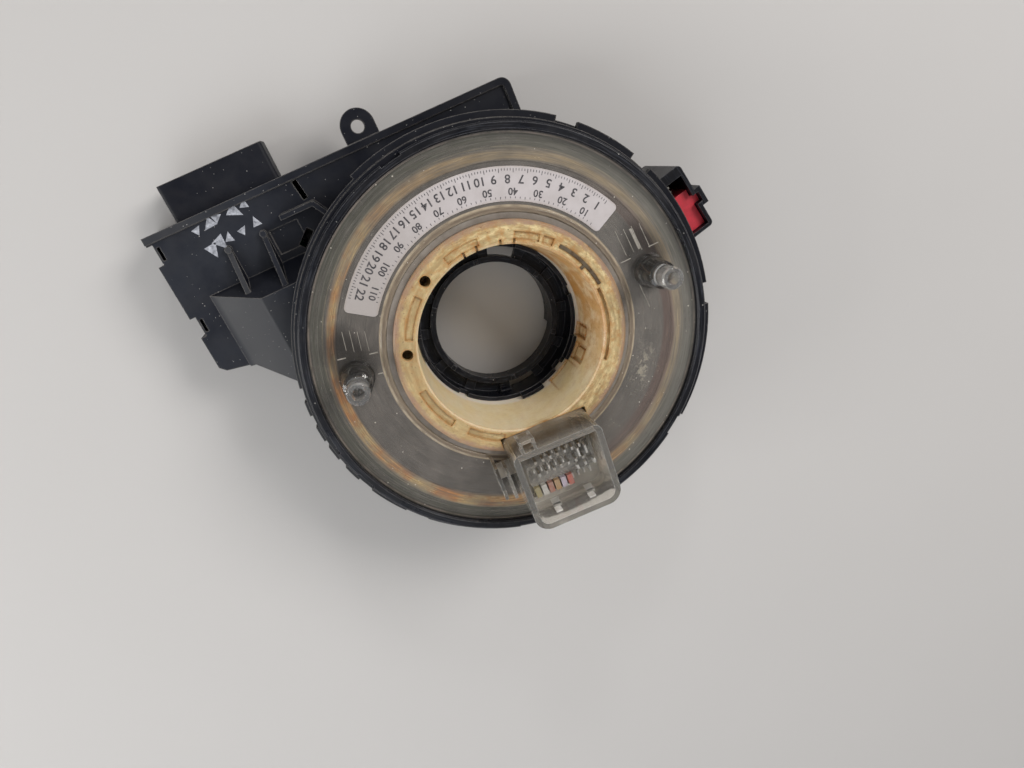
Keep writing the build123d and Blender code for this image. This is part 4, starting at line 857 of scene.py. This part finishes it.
printedScale = {"ink": {"fresh": (0.03, 0.03, 0.035), "worn": (0.11, 0.10, 0.105), "patch": 0.9},
                "ticks": ({"name": "outerTicks", "radius": 43.1, "first": 31.0, "step": 1.0, "count": 110,
                           "short": 0.55, "long": 1.0},
                          {"name": "innerTicks", "radius": 36.3, "first": 31.0, "step": 2.0, "count": 55,
                           "short": 0.45, "long": 0.6}),
                "width": 0.16, "thickness": 0.03, "bold": 0.05, "longEvery": 5, "overLabel": 0.012,
                "rows": ({"radius": 40.65, "size": 3.0, "first": 33.0, "step": 5.0, "count": 22,
                          "value": 1, "gain": 1},
                         {"radius": 37.6, "size": 2.5, "first": 36.0, "step": 10.0, "count": 11,
                          "value": 10, "gain": 10})}


def makeTicks(look, tree, ink, base):
    values = {"Radius": look["radius"] * mm, "First Angle": math.radians(look["first"]),
              "Step": math.radians(look["step"]), "Short": look["short"] * mm, "Long": look["long"] * mm,
              "Width": printedScale["width"] * mm, "Thickness": printedScale["thickness"] * mm,
              "Base": base, "Count": look["count"], "Long Every": printedScale["longEvery"], "Ink": ink}
    bakeGeometry(look["name"], tree, values, "rotor")


def textMesh(body, size, thickness):
    words = bpy.data.curves.new("number", "FONT")
    words.body = body
    words.size = size * mm
    words.align_x = "CENTER"
    words.align_y = "CENTER"
    words.extrude = thickness * mm / 2
    words.offset = printedScale["bold"] * mm
    words.resolution_u = 3
    holder = bpy.data.objects.new("number", words)
    bpy.context.scene.collection.objects.link(holder)
    mesh = bpy.data.meshes.new_from_object(holder.evaluated_get(bpy.context.evaluated_depsgraph_get()))
    bpy.data.objects.remove(holder)
    return mesh


def makePrintedScale():
    # plain ticks and numbers, read from outside the ring
    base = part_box("scale_sticker")[1].z + printedScale["overLabel"] * mm
    ink = inkFinish("scaleInk", printedScale["ink"])
    tree = ticksTree()
    for look in printedScale["ticks"]:
        makeTicks(look, tree, ink, base)
    tool = bmesh.new()
    up = Vector((0, 0, base))
    for row in printedScale["rows"]:
        for i in range(row["count"]):
            mesh = textMesh(str(row["value"] + i * row["gain"]), row["size"], printedScale["thickness"])
            angle = math.radians(row["first"] + i * row["step"])
            place = Vector((math.cos(angle), math.sin(angle), 0)) * row["radius"] * mm + up
            mesh.transform(Matrix.Translation(place) @ Matrix.Rotation(angle + math.pi / 2, 4, "Z"))
            tool.from_mesh(mesh)
            bpy.data.meshes.remove(mesh)
    numbers = bpy.data.meshes.new("scaleNumbers")
    tool.to_mesh(numbers)
    tool.free()
    numbers.materials.append(ink)
    addPiece("scaleNumbers", numbers, "rotor")


def trianglesTree():
    # plain triangles scattered over a small patch, turned and sized by chance
    inputs = {"Vector": ("Middle", "Jitter"), "Int": ("Columns", "Rows", "Seed"), "Material": ("Paint",),
              "Float": ("Width", "Depth", "Smallest", "Largest", "Slimness", "Thickness", "Slope")}
    tree, given, output = startGeometry("trianglesInAPatch", inputs)
    patch = {"Size X": given["Width"], "Size Y": given["Depth"],
             "Vertices X": given["Columns"], "Vertices Y": given["Rows"]}
    grid = addNode(tree, "GeometryNodeMeshGrid", {}, patch).outputs[0]
    back = vectorCalc(tree, "SCALE", {0: given["Jitter"], "Scale": -1.0})
    shift = addNode(tree, "FunctionNodeRandomValue", {"data_type": "FLOAT_VECTOR"},
                    {0: back, 1: given["Jitter"], "Seed": given["Seed"]}).outputs[0]
    shaken = moved(tree, grid, {"Offset": shift})
    laid = {"Geometry": shaken, "Translation": given["Middle"], "Rotation": vectorOf(tree, z=given["Slope"])}
    placed = addNode(tree, "GeometryNodeTransform", {}, laid).outputs[0]
    triangle = {"Vertices": 3, "Radius": 0.5, "Depth": 1.0}
    flat = addNode(tree, "GeometryNodeMeshCylinder", {}, triangle).outputs[0]
    turn = aboutZ(tree, chanceOf(tree, 0.0, 2 * math.pi, given["Seed"]))
    reach = chanceOf(tree, given["Smallest"], given["Largest"], given["Seed"])
    size = vectorOf(tree, reach, times(tree, reach, given["Slimness"]), given["Thickness"])
    endGeometry(tree, instancesOf(tree, placed, flat, turn, size), given["Paint"], output)
    return tree


stampMark = {"paint": {"fresh": (0.52, 0.54, 0.60), "worn": (0.10, 0.105, 0.125), "patch": 1.4},
             "middle": (-53.6, 54.3, 11.0), "width": 13.5, "depth": 5.4, "columns": 5, "rows": 2,
             "jitter": (0.8, 0.8, 0.0), "sizes": (2.8, 5.4), "slimness": 0.8, "thickness": 0.04,
             "slope": 6.0, "seed": 12}


def makeStamp():
    # plain triangles where the arm carries its stencilled mark
    smallest, largest = stampMark["sizes"]
    values = {"Middle": Vector(stampMark["middle"]) * mm, "Width": stampMark["width"] * mm,
              "Depth": stampMark["depth"] * mm, "Columns": stampMark["columns"], "Rows": stampMark["rows"],
              "Jitter": Vector(stampMark["jitter"]) * mm, "Smallest": smallest * mm, "Largest": largest * mm,
              "Slimness": stampMark["slimness"], "Thickness": stampMark["thickness"] * mm,
              "Slope": math.radians(stampMark["slope"]), "Seed": stampMark["seed"],
              "Paint": inkFinish("stampPaint", stampMark["paint"])}
    bakeGeometry("stampedMark", trianglesTree(), values, "housing")


ribHighlights = {"paint": {"fresh": (0.40, 0.37, 0.32), "worn": (0.16, 0.145, 0.125), "patch": 1.8},
            "low": 27.99, "thickness": 0.05,
            "rows": ({"name": "ribLinesRight", "first": (36.5, 10.4), "step": (2.25, -0.25),
                      "size": (7.4, 0.17), "turn": 95.0, "count": 4, "uneven": 0.3, "seed": 3},
                     {"name": "ribCrestRight", "first": (40.5, 9.9), "step": (1, 0),
                      "size": (6.0, 0.7), "turn": 95.5, "count": 1, "uneven": 0.0, "seed": 2},
                     {"name": "ribLinesLeft", "first": (-39.0, 18.3), "step": (1.7, -0.8),
                      "size": (5.6, 0.13), "turn": 76.3, "count": 4, "uneven": 0.25, "seed": 5},
                     {"name": "barLinesRight", "first": (36.1, 5.6), "step": (8.6, 0.75),
                      "size": (3.1, 0.26), "turn": 0.0, "count": 2, "uneven": 0.1, "seed": 7},
                     {"name": "barLinesLeft", "first": (-41.6, 14.5), "step": (7.8, -2.2),
                      "size": (2.4, 0.26), "turn": -12.0, "count": 2, "uneven": 0.1, "seed": 8},
                     {"name": "lowBarsLeft", "first": (-44.2, 9.35), "step": (9.6, -2.6),
                      "size": (1.5, 0.26), "turn": -12.0, "count": 2, "uneven": 0.2, "seed": 6},
                     {"name": "sideLineRight", "first": (37.7, -5.3), "step": (1, 0),
                      "size": (7.2, 0.22), "turn": 94.5, "count": 1, "uneven": 0.0, "seed": 1})}


def makeRibHighlights(tree):
    # thin light bars on the disc's face: painted highlights where its ribs and cross bars catch the light
    paint = inkFinish("ribHighlightPaint", ribHighlights["paint"])
    for row in ribHighlights["rows"]:
        values = {"First": Vector((*row["first"], ribHighlights["low"])) * mm,
                  "Step": Vector((*row["step"], 0)) * mm,
                  "Size": Vector((*row["size"], ribHighlights["thickness"])) * mm,
                  "Turn": math.radians(row["turn"]), "Unevenness": row["uneven"],
                  "Count": row["count"], "Seed": row["seed"], "Material": paint}
        bakeGeometry(row["name"], tree, values, "rotor")


collarShelf = {"inner": 31.04, "outer": 32.52, "low": 27.2, "high": 28.3, "segments": 96,
               "look": {"fresh": (0.27, 0.24, 0.21), "worn": (0.17, 0.145, 0.12), "patch": 6.0}}


def makeCollarShelf():
    # narrow beige-grey shelf in the gap between the hub's flange and the disc's collar
    inner, outer = collarShelf["inner"], collarShelf["outer"]
    low, high = collarShelf["low"], collarShelf["high"]
    profile = [(inner, low), (outer, low), (outer, high), (inner, high)]
    tool = bmesh.new()
    rings = []
    for i in range(collarShelf["segments"]):
        angle = 2 * math.pi * i / collarShelf["segments"]
        ring = []
        for r, z in profile:
            ring.append(tool.verts.new((r * mm * math.cos(angle), r * mm * math.sin(angle), z * mm)))
        rings.append(ring)
    for i, ring in enumerate(rings):
        following = rings[(i + 1) % len(rings)]
        for j in range(len(profile)):
            k = (j + 1) % len(profile)
            tool.faces.new((ring[j], following[j], following[k], ring[k]))
    bmesh.ops.recalc_face_normals(tool, faces=tool.faces)
    mesh = bpy.data.meshes.new("collarShelf")
    tool.to_mesh(mesh)
    tool.free()
    mesh.materials.append(inkFinish("shelfPlastic", collarShelf["look"]))
    addPiece("collarShelf", mesh, "rotor")


connectorCombs = {"uneven": 0.3,
                  "rows": ({"name": "upperComb", "r": 31.0, "t": -3.15, "pitch": 2.1, "count": 5,
                            "size": (1.0, 0.34, 3.0), "low": 33.98, "seed": 1},
                           {"name": "lowerComb", "r": 34.7, "t": -7.35, "pitch": 2.1, "count": 5,
                            "size": (1.0, 0.34, 2.8), "low": 33.98, "seed": 2},
                           {"name": "cornerPosts", "r": 33.6, "t": 5.6, "pitch": 2.2, "count": 2,
                            "size": (2.6, 0.5, 3.6), "low": 33.98, "seed": 3},
                           {"name": "sidePosts", "r": 38.2, "t": 4.4, "pitch": 2.4, "count": 3,
                            "size": (1.4, 0.6, 2.6), "low": 33.98, "seed": 4},
                           {"name": "sleeveFence", "r": 43.3, "t": -8.9, "pitch": 1.55, "count": 7,
                            "size": (0.5, 1.0, 3.0), "low": 30.98, "seed": 5},
                           {"name": "sleeveStops", "r": 41.0, "t": 2.6, "pitch": 1.7, "count": 4,
                            "size": (1.8, 0.45, 3.6), "low": 30.98, "seed": 6}),
                  # painted light: two pale blocks inside the windows of the outer wall
                  "windowLights": {"name": "windowLightPatches", "r": 46.22, "t": -4.8, "pitch": 9.85, "count": 2,
                              "size": (0.4, 1.8, 3.0), "low": 37.4, "seed": 7},
                  "windowLightLook": {"fresh": (0.86, 0.85, 0.83), "worn": (0.60, 0.57, 0.53), "patch": 1.2}}


def makeCombs(tree, clear):
    # thin clear ribs in the gaps between contacts, posts beside contacts and sleeves, and two pale blocks
    # that paint the light seen through the windows of the outer wall
    angle = math.radians(connectorAngle)
    outwards = Vector((math.cos(angle), math.sin(angle), 0))
    across = Vector((-math.sin(angle), math.cos(angle), 0))
    pale = inkFinish("windowLightPaint", connectorCombs["windowLightLook"])
    for row in (*connectorCombs["rows"], connectorCombs["windowLights"]):
        finish = pale if row is connectorCombs["windowLights"] else clear
        first = outwards * row["r"] + across * row["t"] + Vector((0, 0, row["low"]))
        values = {"First": first * mm, "Step": across * row["pitch"] * mm, "Size": Vector(row["size"]) * mm,
                  "Turn": angle, "Unevenness": connectorCombs["uneven"], "Count": row["count"],
                  "Seed": row["seed"], "Material": finish}
        bakeGeometry(row["name"], tree, values, "rotor")


makeCamera()
makeLights()
makeFloor()
print("camera, lamps and floor are ready")
dressNodes()
print("every packed piece has its finish")
makePrintedScale()
bars = barsTree()
makeStamp()
makeRibHighlights(bars)
makeCollarShelf()
makeCombs(bars, connectorPlastic("frostedRib", frostedRib))
print("the scale, the stamp, the rib lines and the connector's ribs are in place")
bpy.context.scene.view_settings.view_transform = "Standard"
